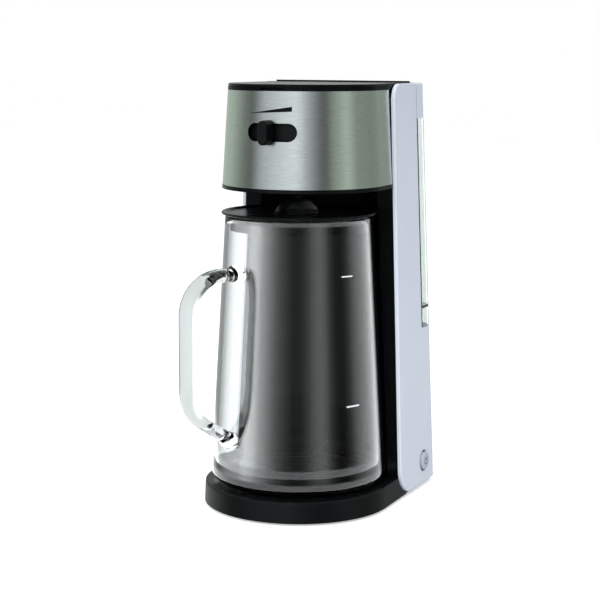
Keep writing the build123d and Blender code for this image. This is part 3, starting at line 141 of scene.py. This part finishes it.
def steel_brushed(name):
    """Sheet brushed round the wrap: fine horizontal lines, highlights smeared up and down."""
    m, nt, b = mat_new(name)
    b.inputs["Metallic"].default_value = 1.0
    v = coords(nt, (130, 130, 1500))
    f1 = noise(nt, v, 1.0, 3.0, 0.65)
    v2 = coords(nt, (90, 90, 8000))
    f2 = noise(nt, v2, 1.0, 2.0, 0.6)
    slow = noise(nt, coords(nt), 30.0, 2.0)
    nt.links.new(tint(nt, f1, (0.545, 0.555, 0.545), (0.665, 0.675, 0.665), 0.25, 0.75), b.inputs["Base Color"])
    add = nt.nodes.new("ShaderNodeMath")
    add.operation = "ADD"
    nt.links.new(span(nt, f2, 0.17, 0.25), add.inputs[0])
    nt.links.new(span(nt, slow, -0.02, 0.03), add.inputs[1])
    nt.links.new(add.outputs[0], b.inputs["Roughness"])
    bump(nt, b, f2, 0.3, 0.00005)
    b.inputs["Anisotropic"].default_value = 0.6
    b.inputs["Anisotropic Rotation"].default_value = 0.25
    tg = nt.nodes.new("ShaderNodeTangent")
    tg.direction_type = "RADIAL"
    tg.axis = "Z"
    nt.links.new(tg.outputs[0], b.inputs["Tangent"])
    return m


def glassy(name, tintc, rough=0.0, ior=1.47, wave=0.0, wave_scale=18.0, solid=None):
    m, nt, b = mat_new(name)
    b.inputs["Transmission Weight"].default_value = 1.0
    b.inputs["IOR"].default_value = ior
    v = coords(nt, (1, 1, 0.45))
    f = noise(nt, v, wave_scale, 2.0)
    nt.links.new(tint(nt, f, tuple(x * 0.985 for x in tintc), tintc), b.inputs["Base Color"])
    b.inputs["Roughness"].default_value = rough
    if rough:
        nt.links.new(span(nt, f, rough, rough + 0.004), b.inputs["Roughness"])
    if wave:
        bump(nt, b, f, 0.5, wave)
    if solid:
        # the solid rod of the handle is thicker than the wall, so it takes more out of the light
        r0, r1, dense = solid
        flatv = coords(nt, (1, 1, 0))
        ln = nt.nodes.new("ShaderNodeVectorMath")
        ln.operation = "LENGTH"
        nt.links.new(flatv, ln.inputs[0])
        far = span(nt, ln.outputs["Value"], 0.0, 1.0, r0, r1)
        base = b.inputs["Base Color"].links[0].from_socket
        mx = nt.nodes.new("ShaderNodeMix")
        mx.data_type = "RGBA"
        nt.links.new(far, mx.inputs[0])
        nt.links.new(base, mx.inputs[6])
        nt.links.new(tint(nt, f, tuple(x * 0.97 for x in dense), dense), mx.inputs[7])
        nt.links.new(mx.outputs[2], b.inputs["Base Color"])
        nt.links.new(span(nt, far, ior, 1.17, 0.0, 1.0), b.inputs["IOR"])
    return m


M = {}
M["black_body"] = plastic("black_body", (0.0045, 0.0047, 0.0052), 0.42, grain=0.00004, grain_scale=1500, spec=0.10)
M["black_housing"] = plastic("black_housing", (0.0028, 0.0034, 0.0038), 0.30, grain=0.0, spec=0.05)
M["black_base"] = plastic("black_base", (0.0036, 0.0044, 0.0048), 0.30, grain=0.00001, grain_scale=1600, spec=0.20)
M["black_gloss"] = plastic("black_gloss", (0.0030, 0.0034, 0.0038), 0.18, grain=0.0, spec=0.12)
M["column_black"] = plastic("column_black", (0.0024, 0.0031, 0.0034), 0.30, grain=0.0, rvary=0.004, vary=0.04, spec=0.08)
M["black_lid"] = plastic("black_lid", (0.0030, 0.0036, 0.0040), 0.20, grain=0.0, rvary=0.02, spec=0.07)
M["lid_black"] = plastic("lid_black", (0.0034, 0.0040, 0.0044), 0.26, grain=0.0, rvary=0.02, spec=0.14)
M["dome_black"] = plastic("dome_black", (0.0030, 0.0034, 0.0037), 0.34, grain=0.0, rvary=0.02, spec=0.07)
M["basket_black"] = plastic("basket_black", (0.0050, 0.0052, 0.0056), 0.42, grain=0.00004, grain_scale=1400, spec=0.25)
M["knob_black"] = plastic("knob_black", (0.0036, 0.0040, 0.0044), 0.36, grain=0.00002, spec=0.16)
M["white_panel"] = plastic("white_panel", (0.70, 0.73, 0.79), 0.34, grain=0.00001, grain_scale=900, vary=0.012, rvary=0.03)
M["inner_white"] = plastic("inner_white", (0.70, 0.69, 0.64), 0.45)
M["inner_black"] = plastic("inner_black", (0.02, 0.02, 0.02), 0.5)
M["rubber"] = plastic("rubber", (0.018, 0.018, 0.018), 0.78, grain=0.0001, grain_scale=900)
M["mat_rubber"] = plastic("mat_rubber", (0.014, 0.014, 0.015), 0.6, grain=0.0001, grain_scale=900)
M["silicone"] = plastic("silicone", (0.66, 0.65, 0.60), 0.5, grain=0.00003)
M["button_grey"] = plastic("button_grey", (0.50, 0.53, 0.60), 0.25, grain=0.00001, vary=0.03)
M["button_ring"] = metal("button_ring", (0.34, 0.36, 0.40), 0.16, grain=0.000004)
M["wire"] = plastic("wire", (0.05, 0.05, 0.07), 0.6)
M["steel"] = steel_brushed("steel_brushed")
M["screw"] = metal("screw", (0.50, 0.50, 0.50), 0.34)
M["spring"] = metal("spring", (0.62, 0.61, 0.58), 0.28)
M["heater"] = metal("heater", (0.62, 0.62, 0.63), 0.45, streak=(40, 200, 40))
M["bracket"] = metal("bracket", (0.50, 0.50, 0.51), 0.38)
M["mesh"] = metal("mesh", (0.60, 0.58, 0.50), 0.35, streak=(400, 400, 400))
M["pitcher"] = glassy("pitcher_glass", (0.955, 0.978, 0.968), 0.0, 1.47, solid=(0.0850, 0.0885, (0.755, 0.790, 0.770)))
M["tank"] = glassy("tank_clear", (0.87, 0.915, 0.895), 0.015, 1.49)
M["print_black"] = plastic("print_black", (0.004, 0.0045, 0.005), 0.55, spec=0.06)
M["print_white"] = plastic("print_white", (0.86, 0.86, 0.85), 0.5, vary=0.03)

USE = {
    "base_shell": "black_base", "bottom_cover": "black_body", "cover_screws": "screw", "rubber_feet": "rubber",
    "seat_mat": "mat_rubber", "column_front": "column_black", "side_panel_right": "white_panel",
    "side_panel_left": "white_panel", "rear_cover": "white_panel", "rear_screws": "screw", "inlet_gland": "rubber",
    "housing_shell": "black_housing", "steel_wrap": "steel", "trim_ring": "black_gloss", "top_bezel": "black_housing",
    "top_lid": "black_lid", "lid_hinge_pins": "spring", "shower_head": "black_body", "brew_well": "black_body",
    "brew_basket": "basket_black", "basket_filter": "mesh", "strength_slider": "knob_black",
    "strength_knob": "knob_black", "slider_track": "black_body", "drip_valve": "inner_white",
    "drip_seal": "silicone", "drip_spring": "spring", "valve_retainer": "inner_white", "water_tank": "tank",
    "tank_cap": "white_panel", "tank_flap": "black_lid", "tank_valve": "inner_white", "tank_valve_seal": "silicone",
    "tank_valve_spring": "spring", "tank_shelf": "black_body", "tank_socket": "inner_white",
    "tank_seal": "silicone", "heater_tube": "heater", "heater_bracket": "bracket", "thermostat": "inner_black",
    "thermal_fuse": "spring", "check_valve": "inner_white", "inlet_hose": "silicone", "riser_tube": "silicone",
    "hose_clips": "spring", "terminal_block": "inner_white", "inner_wiring": "wire", "button_ring": "button_ring",
    "power_button": "button_grey", "switch_body": "inner_black", "button_spring": "spring",
    "pitcher_glass": "pitcher", "pitcher_lid": "lid_black", "lid_dome": "dome_black", "lid_gasket": "mat_rubber",
}
for n, key in USE.items():
    if n not in NODES:
        continue
    o = NODES[n]
    o.data.materials.clear()
    o.data.materials.append(M[key])
    if key not in ("none",):
        for p in o.data.polygons:
            p.use_smooth = True
        o.data.set_sharp_from_angle(angle=rad(28))


# ------------------------------------------------------------------ mesh helpers
def obj_from(name, verts, faces, material, smooth=True, sharp=35.0):
    me = bpy.data.meshes.new(name)
    me.from_pydata([tuple(v) for v in verts], [], faces)
    me.validate()
    me.update()
    o = bpy.data.objects.new(name, me)
    bpy.context.scene.collection.objects.link(o)
    me.materials.append(material)
    if smooth:
        for p in me.polygons:
            p.use_smooth = True
        me.set_sharp_from_angle(angle=rad(sharp))
    return o


def lathe(profile, seg):
    """Closed profile of (r, z) in mm turned about Z. Points on the axis are shared."""
    verts, rings = [], []
    for r, z in profile:
        if r < 1e-6:
            rings.append([len(verts)] * seg)
            verts.append((0, 0, z * MM))
        else:
            rings.append(list(range(len(verts), len(verts) + seg)))
            for i in range(seg):
                a = 2 * math.pi * i / seg
                verts.append((r * math.cos(a) * MM, r * math.sin(a) * MM, z * MM))
    faces = []
    n = len(profile)
    for k in range(n):
        a, b = rings[k], rings[(k + 1) % n]
        if a[0] == a[1] and b[0] == b[1]:
            continue
        for i in range(seg):
            j = (i + 1) % seg
            f = [a[i], a[j], b[j], b[i]]
            g = []
            for v in f:
                if v not in g:
                    g.append(v)
            if len(g) > 2:
                faces.append(g)
    return verts, faces


def arc(cx, cz, r, a0, a1, n):
    return [(cx + r * math.cos(rad(a0 + (a1 - a0) * i / n)), cz + r * math.sin(rad(a0 + (a1 - a0) * i / n))) for i in range(n + 1)]


# ------------------------------------------------------------------ pitcher glass
PK = (70.6 - 59.0) / (231.0 - 27.5)


def pr(z):
    return 70.6 - PK * (z - 27.5)


def pitcher_profile():
    pts = [(0, 19.75)]
    for i in range(1, 10):
        pts.append((5.2 * i, 19.75))
    pts += [(50.0, 19.6), (51.4, 19.2), (52.8, 18.85), (54.5, 18.75), (57.5, 18.75)]
    # outer heel: quarter ellipse from (60.6, 18.75) to (70.6, 28.5)
    for i in range(0, 13):
        t = rad(90 * i / 12)
        pts.append((60.6 + 10.0 * math.sin(t), 28.5 - 9.75 * math.cos(t)))
    for i in range(1, 41):
        z = 28.5 + (232.0 - 28.5) * i / 40
        pts.append((pr(z), z))
    ro, ri = pr(232.0), pr(232.0) - 3.1
    mid = (ro + ri) / 2
    pts += [(mid + 1.55 * math.cos(rad(a)), 232.0 + 1.55 * math.sin(rad(a))) for a in (25, 50, 75, 90, 105, 130, 155)]
    for i in range(0, 40):
        z = 232.0 + (37.0 - 232.0) * i / 39
        pts.append((pr(z) - 3.1 - 0.5 * max(0, (60 - z) / 25) ** 2 * 0.4, z))
    r_in = pts[-1][0]
    # inner heel
    for i in range(1, 11):
        t = rad(90 * i / 10)
        pts.append((r_in - 9.5 + 9.5 * math.cos(t), 37.0 - 10.2 * math.sin(t)))
    # slightly dished, faintly rippled floor
    r0 = pts[-1][0]
    for i in range(1, 66):
        r = r0 * (1 - i / 66)
        z = 26.9 + 1.0 * (1 - (r / r0) ** 2) + 0.52 * math.sin(r / 2.3) * (r / r0) ** 0.7
        pts.append((r, z))
    pts.append((0, 27.75))
    return pts


SEG = 160
verts, faces = lathe(pitcher_profile(), SEG)
body = obj_from("pitcher_visual", verts, faces, M["pitcher"])

AZ = rad(-28.5)
HX, HY = math.sin(AZ), -math.cos(AZ)       # radial direction of the handle's plane
TX, TY = -HY, HX                            # sideways direction


def fillet_path(points, radii, step=2.2):
    out = []
    pts = [Vector((p[0], p[1])) for p in points]
    cur = pts[0]
    for k in range(1, len(pts) - 1):
        p0, p1, p2 = pts[k - 1], pts[k], pts[k + 1]
        d0, d1 = (p0 - p1).normalized(), (p2 - p1).normalized()
        ang = d0.angle(d1)
        t = radii[k - 1] / math.tan(ang / 2)
        a, b = p1 + d0 * t, p1 + d1 * t
        n = max(2, int((a - cur).length / step))
        for i in range(n):
            out.append(cur.lerp(a, i / n))
        bis = (d0 + d1).normalized()
        c = p1 + bis * (radii[k - 1] / math.sin(ang / 2))
        va, vb = a - c, b - c
        turn = va.angle_signed(vb)
        m = max(4, int(abs(turn) * radii[k - 1] / step))
        for i in range(m):
            s = -turn * i / m
            out.append(c + Vector((va.x * math.cos(s) - va.y * math.sin(s), va.x * math.sin(s) + va.y * math.cos(s))))
        cur = b
    n = max(2, int((pts[-1] - cur).length / step))
    for i in range(n + 1):
        out.append(cur.lerp(pts[-1], i / n))
    return out


path = fillet_path([(pr(190.8) - 1.6, 190.8), (106.3, 190.8), (106.3, 85.0), (pr(59.6) - 1.8, 59.0)], [30.0, 30.0])
length = [0.0]
for a, b in zip(path, path[1:]):
    length.append(length[-1] + (b - a).length)
total = length[-1]
verts, faces = [], []
NS = 40
for k, p in enumerate(path):
    t = (path[min(k + 1, len(path) - 1)] - path[max(k - 1, 0)]).normalized()
    nrm = Vector((t.y, -t.x))
    s = min(length[k], total - length[k])
    flare = 1.0 + 0.42 * math.exp(-((max(0.0, s - 1.6)) / 3.2) ** 2) + 0.05 * math.exp(-((s - 12) / 7.0) ** 2)
    hw = 9.5 * (1 + (flare - 1) * 0.55)
    ht = 5.1 * flare
    for i in range(NS):
        a = 2 * math.pi * i / NS
        u, v = ht * math.cos(a), hw * math.sin(a)
        # flattened oval section
        q = Vector((p.x + nrm.x * u, p.y + nrm.y * u))
        verts.append(((q.x * HX + v * TX) * MM, (q.x * HY + v * TY) * MM, q.y * MM))
n = len(path)
for k in range(n - 1):
    for i in range(NS):
        j = (i + 1) % NS
        faces.append([k * NS + i, k * NS + j, (k + 1) * NS + j, (k + 1) * NS + i])
faces.append(list(range(NS))[::-1])
faces.append([(n - 1) * NS + i for i in range(NS)])
handle = obj_from("pitcher_handle_tmp", verts, faces, M["pitcher"])
for o in (body, handle):
    bm = bmesh.new()
    bm.from_mesh(o.data)
    bmesh.ops.recalc_face_normals(bm, faces=bm.faces)
    bm.to_mesh(o.data)
    bm.free()
mod = body.modifiers.new("join", "BOOLEAN")
mod.operation = "UNION"
mod.solver = "EXACT"
mod.object = handle
bpy.context.view_layer.update()
dg = bpy.context.evaluated_depsgraph_get()
joined = bpy.data.meshes.new_from_object(body.evaluated_get(dg))
body.modifiers.clear()
body.data = joined
bpy.data.objects.remove(handle)
for p in joined.polygons:
    p.use_smooth = True
joined.set_sharp_from_angle(angle=rad(50))
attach(body, "pitcher")
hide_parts("pitcher_glass")


# ------------------------------------------------------------------ printed marks
def curved_patch(name, outline, place, body_name, material, lift=0.06, nx=28):
    """A printed mark: a thin closed skin laid on a surface. outline(u) gives (low, high) for u in 0..1."""
    v, f = [], []
    for side in (0, 1):
        for i in range(nx + 1):
            u = i / nx
            lo, hi = outline(u)
            for h in (lo, hi):
                v.append(place(u, h, lift if side else 0.01))
    m = 2 * (nx + 1)
    for i in range(nx):
        a = 2 * i
        f.append([m + a, m + a + 2, m + a + 3, m + a + 1])
        f.append([a, a + 1, a + 3, a + 2])
        f.append([a, a + 2, m + a + 2, m + a])
        f.append([a + 1, m + a + 1, m + a + 3, a + 3])
    f.append([0, m, m + 1, 1])
    e = 2 * nx
    f.append([e, e + 1, m + e + 1, m + e])
    o = obj_from(name, v, f, material, smooth=False)
    bm = bmesh.new()
    bm.from_mesh(o.data)
    bmesh.ops.recalc_face_normals(bm, faces=bm.faces)
    bm.to_mesh(o.data)
    bm.free()
    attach(o, body_name)
    return o


def on_steel(az, z, lift):
    r = 65.6 - 0.061 * (z - 257.1) + lift
    return (r * math.sin(rad(az)) * MM, (10.0 - r * math.cos(rad(az))) * MM, z * MM)


curved_patch(
    "strength_wedge",
    lambda u: (315.4 + 1.6 * u - 0.05, 315.4 + 5.1 * u + 0.12),
    lambda u, z, lift: on_steel(-16.6 + 32.1 * u, z, lift),
    "machine", M["print_black"],
)


def on_pitcher(az, z, lift):
    r = pr(z) + lift
    return (r * math.sin(rad(az)) * MM, -r * math.cos(rad(az)) * MM, z * MM)


def tick(name, az, z, half_len, half_h):
    curved_patch(
        name,
        lambda u: (z - half_h, z + half_h),
        lambda u, zz, lift: on_pitcher(az - half_len + 2 * half_len * u, zz, lift),
        "pitcher", M["print_white"], nx=10,
    )


tick("fill_mark_upper", 62.0, 191.0, 4.9, 0.55)
tick("fill_mark_lower", 64.0, 89.7, 5.4, 0.65)

# power symbol on the button: an open ring and a bar, printed as thin skins on its face
BTN = NODES["power_button"]
face_x = max((BTN.matrix_world @ v.co).x for v in BTN.data.vertices)
ys = [(BTN.matrix_world @ v.co).y for v in BTN.data.vertices]
BY, BZ = (min(ys) + max(ys)) / 2, 0.022


def on_button(r, a, lift):
    return (face_x + lift * MM, BY + r * math.sin(rad(a)) * MM, BZ + r * math.cos(rad(a)) * MM)


curved_patch(
    "power_ring", lambda u: (2.45, 3.15), lambda u, r, lift: on_button(r, 38 + 284 * u, lift),
    "power_button", M["print_black"], lift=0.05,
)
curved_patch(
    "power_bar", lambda u: (-0.36, 0.36),
    lambda u, h, lift: (face_x + lift * MM, BY + h * MM, BZ + (0.6 + 2.9 * u) * MM),
    "power_button", M["print_black"], lift=0.05, nx=6,
)

# ------------------------------------------------------------------ floor, light, camera
me = bpy.data.meshes.new("studio_floor")
me.from_pydata([(-4, -3, 0), (4, -3, 0), (4, 5, 0), (-4, 5, 0)], [], [(0, 1, 2, 3)])
floor = bpy.data.objects.new("studio_floor", me)
bpy.context.scene.collection.objects.link(floor)
fm, nt, b = mat_new("studio_floor")
fl = noise(nt, coords(nt), 3.0, 2.0)
nt.links.new(tint(nt, fl, (0.93, 0.935, 0.935), (0.95, 0.95, 0.95)), b.inputs["Base Color"])
nt.links.new(span(nt, fl, 0.5, 0.6), b.inputs["Roughness"])
b.inputs["Specular IOR Level"].default_value = 0.25
me.materials.append(fm)
b.inputs["Emission Color"].default_value = (1, 1, 1, 1)
b.inputs["Emission Strength"].default_value = 0.42
floor.visible_glossy = False
floor.visible_transmission = False
floor.visible_diffuse = False

world = bpy.data.worlds.new("studio")
bpy.context.scene.world = world
world.use_nodes = True
nt = world.node_tree
nt.nodes.clear()
out = nt.nodes.new("ShaderNodeOutputWorld")
tc = nt.nodes.new("ShaderNodeTexCoord")
sep = nt.nodes.new("ShaderNodeSeparateXYZ")
nt.links.new(tc.outputs["Generated"], sep.inputs[0])


def wmath(op, a, b=None):
    n = nt.nodes.new("ShaderNodeMath")
    n.operation = op
    for i, v in enumerate((a, b)):
        if v is None:
            continue
        if isinstance(v, (int, float)):
            n.inputs[i].default_value = v
        else:
            nt.links.new(v, n.inputs[i])
    return n.outputs[0]


azim = wmath("ARCTAN2", sep.outputs["X"], wmath("MULTIPLY", sep.outputs["Y"], -1.0))
turn = nt.nodes.new("ShaderNodeMapRange")
turn.inputs["From Min"].default_value = -math.pi
turn.inputs["From Max"].default_value = math.pi
nt.links.new(azim, turn.inputs["Value"])


def band_ramp(bands):
    r = nt.nodes.new("ShaderNodeValToRGB")
    nt.links.new(turn.outputs[0], r.inputs[0])
    cr = r.color_ramp
    while len(cr.elements) > 1:
        cr.elements.remove(cr.elements[-1])
    for k, (az, col) in enumerate(bands):
        e = cr.elements[0] if k == 0 else cr.elements.new((az + 180) / 360)
        e.position = (az + 180) / 360
        c = (col * 0.97, col, col * 1.012) if isinstance(col, (int, float)) else col
        e.color = (*c, 1)
    return r.outputs[0]


def sage(v):
    return (v * 0.84, v * 1.0, v * 0.86)


def cool(v):
    return (v * 0.91, v * 1.0, v * 1.01)


# the studio as glossy surfaces see it: a tall soft light at the front left, dark flags beside it, paler walls behind
HIGH = band_ramp([
    (-180, (0.52, 0.58, 0.68)), (-160, 0.62), (-137, sage(0.62)), (-104, sage(0.60)), (-90, sage(0.46)), (-76, sage(0.30)), (-58, sage(0.16)),
    (-50, 0.30), (-38, cool(0.64)), (-8, cool(0.98)), (11, cool(1.16)), (18, cool(1.0)), (26, cool(0.66)), (38, cool(0.36)),
    (48, cool(0.17)), (56, sage(0.15)), (64, sage(0.38)), (76, sage(0.52)), (86, sage(0.72)), (94, sage(0.58)), (104, sage(0.38)),
    (135, sage(0.33)), (150, sage(0.35)), (163, sage(0.41)), (173, (0.52, 0.59, 0.69)), (180, (0.52, 0.58, 0.68)),
])
LOW = band_ramp([
    (-180, 0.9), (-150, 0.45), (-122, 0.28), (-106, 0.45), (-94, 1.6), (-80, 3.2), (-62, 5.0), (-51, 7.8), (-40, 6.8), (-31, 4.2), (-21, 2.7), (-13, 1.6), (-4, 0.85), (6, 0.42),
    (17, 0.15), (28, 0.18), (38, 0.52), (47, 1.15), (55, 1.40), (62, 1.15), (71, 0.36), (80, 0.07), (91, 0.04), (101, 0.28),
    (112, 0.95), (124, 1.5), (136, 1.7), (155, 2.2), (180, 1.3),
])
GROUND = band_ramp([
    (-180, 0.30), (-150, 0.50), (-105, 0.95), (-82, 0.80), (-68, 0.16), (-40, 0.05), (60, 0.05), (110, 0.12), (150, 0.30), (180, 0.30),
])
SOFT = band_ramp([
    (-180, (1.00, 1.02, 1.05)), (-130, (0.66, 0.70, 0.74)), (-90, (0.52, 0.57, 0.61)), (-40, (0.66, 0.70, 0.74)), (-10, (1.05, 1.09, 1.14)), (14, (1.15, 1.20, 1.26)), (30, (0.66, 0.72, 0.78)),
    (60, (0.28, 0.33, 0.36)), (110, (0.26, 0.31, 0.34)), (136, (0.46, 0.53, 0.60)), (158, (1.00, 1.05, 1.11)), (180, (1.00, 1.02, 1.05)),
])
BEHIND = band_ramp([
    (-180, 0.95), (-100, 0.94), (-70, 0.90), (-20, 0.84), (40, 0.84), (80, 0.86), (110, 0.92), (140, 0.96), (180, 0.97),
])


def rise(a, b, smooth=True):
    n = nt.nodes.new("ShaderNodeMapRange")
    if smooth:
        n.interpolation_type = "SMOOTHSTEP"
    n.inputs["From Min"].default_value = a
    n.inputs["From Max"].default_value = b
    nt.links.new(sep.outputs["Z"], n.inputs["Value"])
    return n.outputs[0]


def wmix(fac, a, b, kind="RGBA"):
    n = nt.nodes.new("ShaderNodeMix")
    n.data_type = kind
    nt.links.new(fac, n.inputs[0])
    nt.links.new(a, n.inputs[6])
    nt.links.new(b, n.inputs[7])
    return n.outputs[2]


def flat(c):
    n = nt.nodes.new("ShaderNodeRGB")
    n.outputs[0].default_value = (*c, 1)
    return n.outputs[0]


lp = nt.nodes.new("ShaderNodeLightPath")
clear_col = wmix(rise(-0.250, -0.200), flat((2.5, 2.6, 2.65)), LOW)
gloss_col = wmix(rise(-0.30, -0.16), GROUND, HIGH)
ceil_f = nt.nodes.new("ShaderNodeMapRange")
ceil_f.inputs["From Min"].default_value = 0.30
ceil_f.inputs["From Max"].default_value = 0.75
ceil_f.inputs["To Max"].default_value = 0.9
nt.links.new(sep.outputs["Z"], ceil_f.inputs["Value"])
gloss_col = wmix(ceil_f.outputs[0], gloss_col, flat((0.50, 0.51, 0.52)))
clear_col = wmix(ceil_f.outputs[0], clear_col, flat((0.22, 0.225, 0.23)))
# polished glass mirrors the strip lights sharply, rough surfaces only see their glow
gloss_col = wmix(lp.outputs["Is Singular Ray"], gloss_col, clear_col)
# light that has been deep inside the glass and back sees only the dim part of the room
shallow = wmath("LESS_THAN", lp.outputs["Transmission Depth"], 3.5)
bounced = wmix(shallow, flat((0.10, 0.102, 0.104)), clear_col)
c1 = wmix(lp.outputs["Is Glossy Ray"], SOFT, gloss_col)
mirrored = wmath("MINIMUM", lp.outputs["Glossy Depth"], 1.0)
c2 = wmix(lp.outputs["Is Transmission Ray"], c1, wmix(mirrored, BEHIND, bounced))
c3 = wmix(lp.outputs["Is Camera Ray"], c2, flat((1, 1, 1)))
bg = nt.nodes.new("ShaderNodeBackground")
nt.links.new(c3, bg.inputs[0])
bg.inputs[1].default_value = 1.0
nt.links.new(bg.outputs[0], out.inputs[0])


def area(name, loc, target, size, energy, color=(1, 1, 1), size_y=None, glossy=True):
    ld = bpy.data.lights.new(name, "AREA")
    ld.shape = "RECTANGLE"
    ld.size = size
    ld.size_y = size_y or size
    ld.energy = energy
    ld.color = color
    o = bpy.data.objects.new(name, ld)
    o.location = loc
    o.rotation_mode = "QUATERNION"
    o.rotation_quaternion = (Vector(target) - Vector(loc)).to_track_quat("-Z", "Y")
    bpy.context.scene.collection.objects.link(o)
    o.visible_glossy = glossy
    o.visible_camera = False
    o.visible_transmission = False
    return o


area("key_front", (0.10, -1.75, 1.15), (0.02, 0.0, 0.17), 0.9, 22, size_y=1.0, glossy=False)
area("fill_low", (0.62, 0.02, 0.04), (0.08, 0.06, 0.10), 0.22, 1.9, color=(1.0, 0.97, 1.0), size_y=0.22, glossy=False)
area("top", (0.1, 0.2, 2.0), (0, 0.0, 0.1), 1.6, 9, glossy=False)

cam_data = bpy.data.cameras.new("camera")
cam = bpy.data.objects.new("camera", cam_data)
bpy.context.scene.collection.objects.link(cam)
bpy.context.scene.camera = cam
TH, PITCH, ROLL = rad(24.8), rad(9.067), rad(0.196)
C = Vector((0.52805, -1.14282, 0.36170))
fwd = Vector((-math.sin(TH) * math.cos(PITCH), math.cos(TH) * math.cos(PITCH), -math.sin(PITCH)))
right = Vector((math.cos(TH), math.sin(TH), 0))
up = right.cross(fwd)
r2 = right * math.cos(ROLL) + up * math.sin(ROLL)
u2 = -right * math.sin(ROLL) + up * math.cos(ROLL)
cam.matrix_world = Matrix((
    (r2.x, u2.x, -fwd.x, C.x), (r2.y, u2.y, -fwd.y, C.y), (r2.z, u2.z, -fwd.z, C.z), (0, 0, 0, 1),
))
cam_data.sensor_fit = "HORIZONTAL"
cam_data.sensor_width = 36.0
cam_data.lens = 1587.86 * 36.0 / 600.0
cam_data.shift_x = (300.0 - 298.99) / 600.0
cam_data.shift_y = -(305.5 - 305.16) / 600.0
cam_data.clip_start = 0.05
cam_data.clip_end = 50

vs = bpy.context.scene.view_settings
vs.view_transform = "Standard"
vs.look = "None"
vs.exposure = 0.0
vs.gamma = 1.0
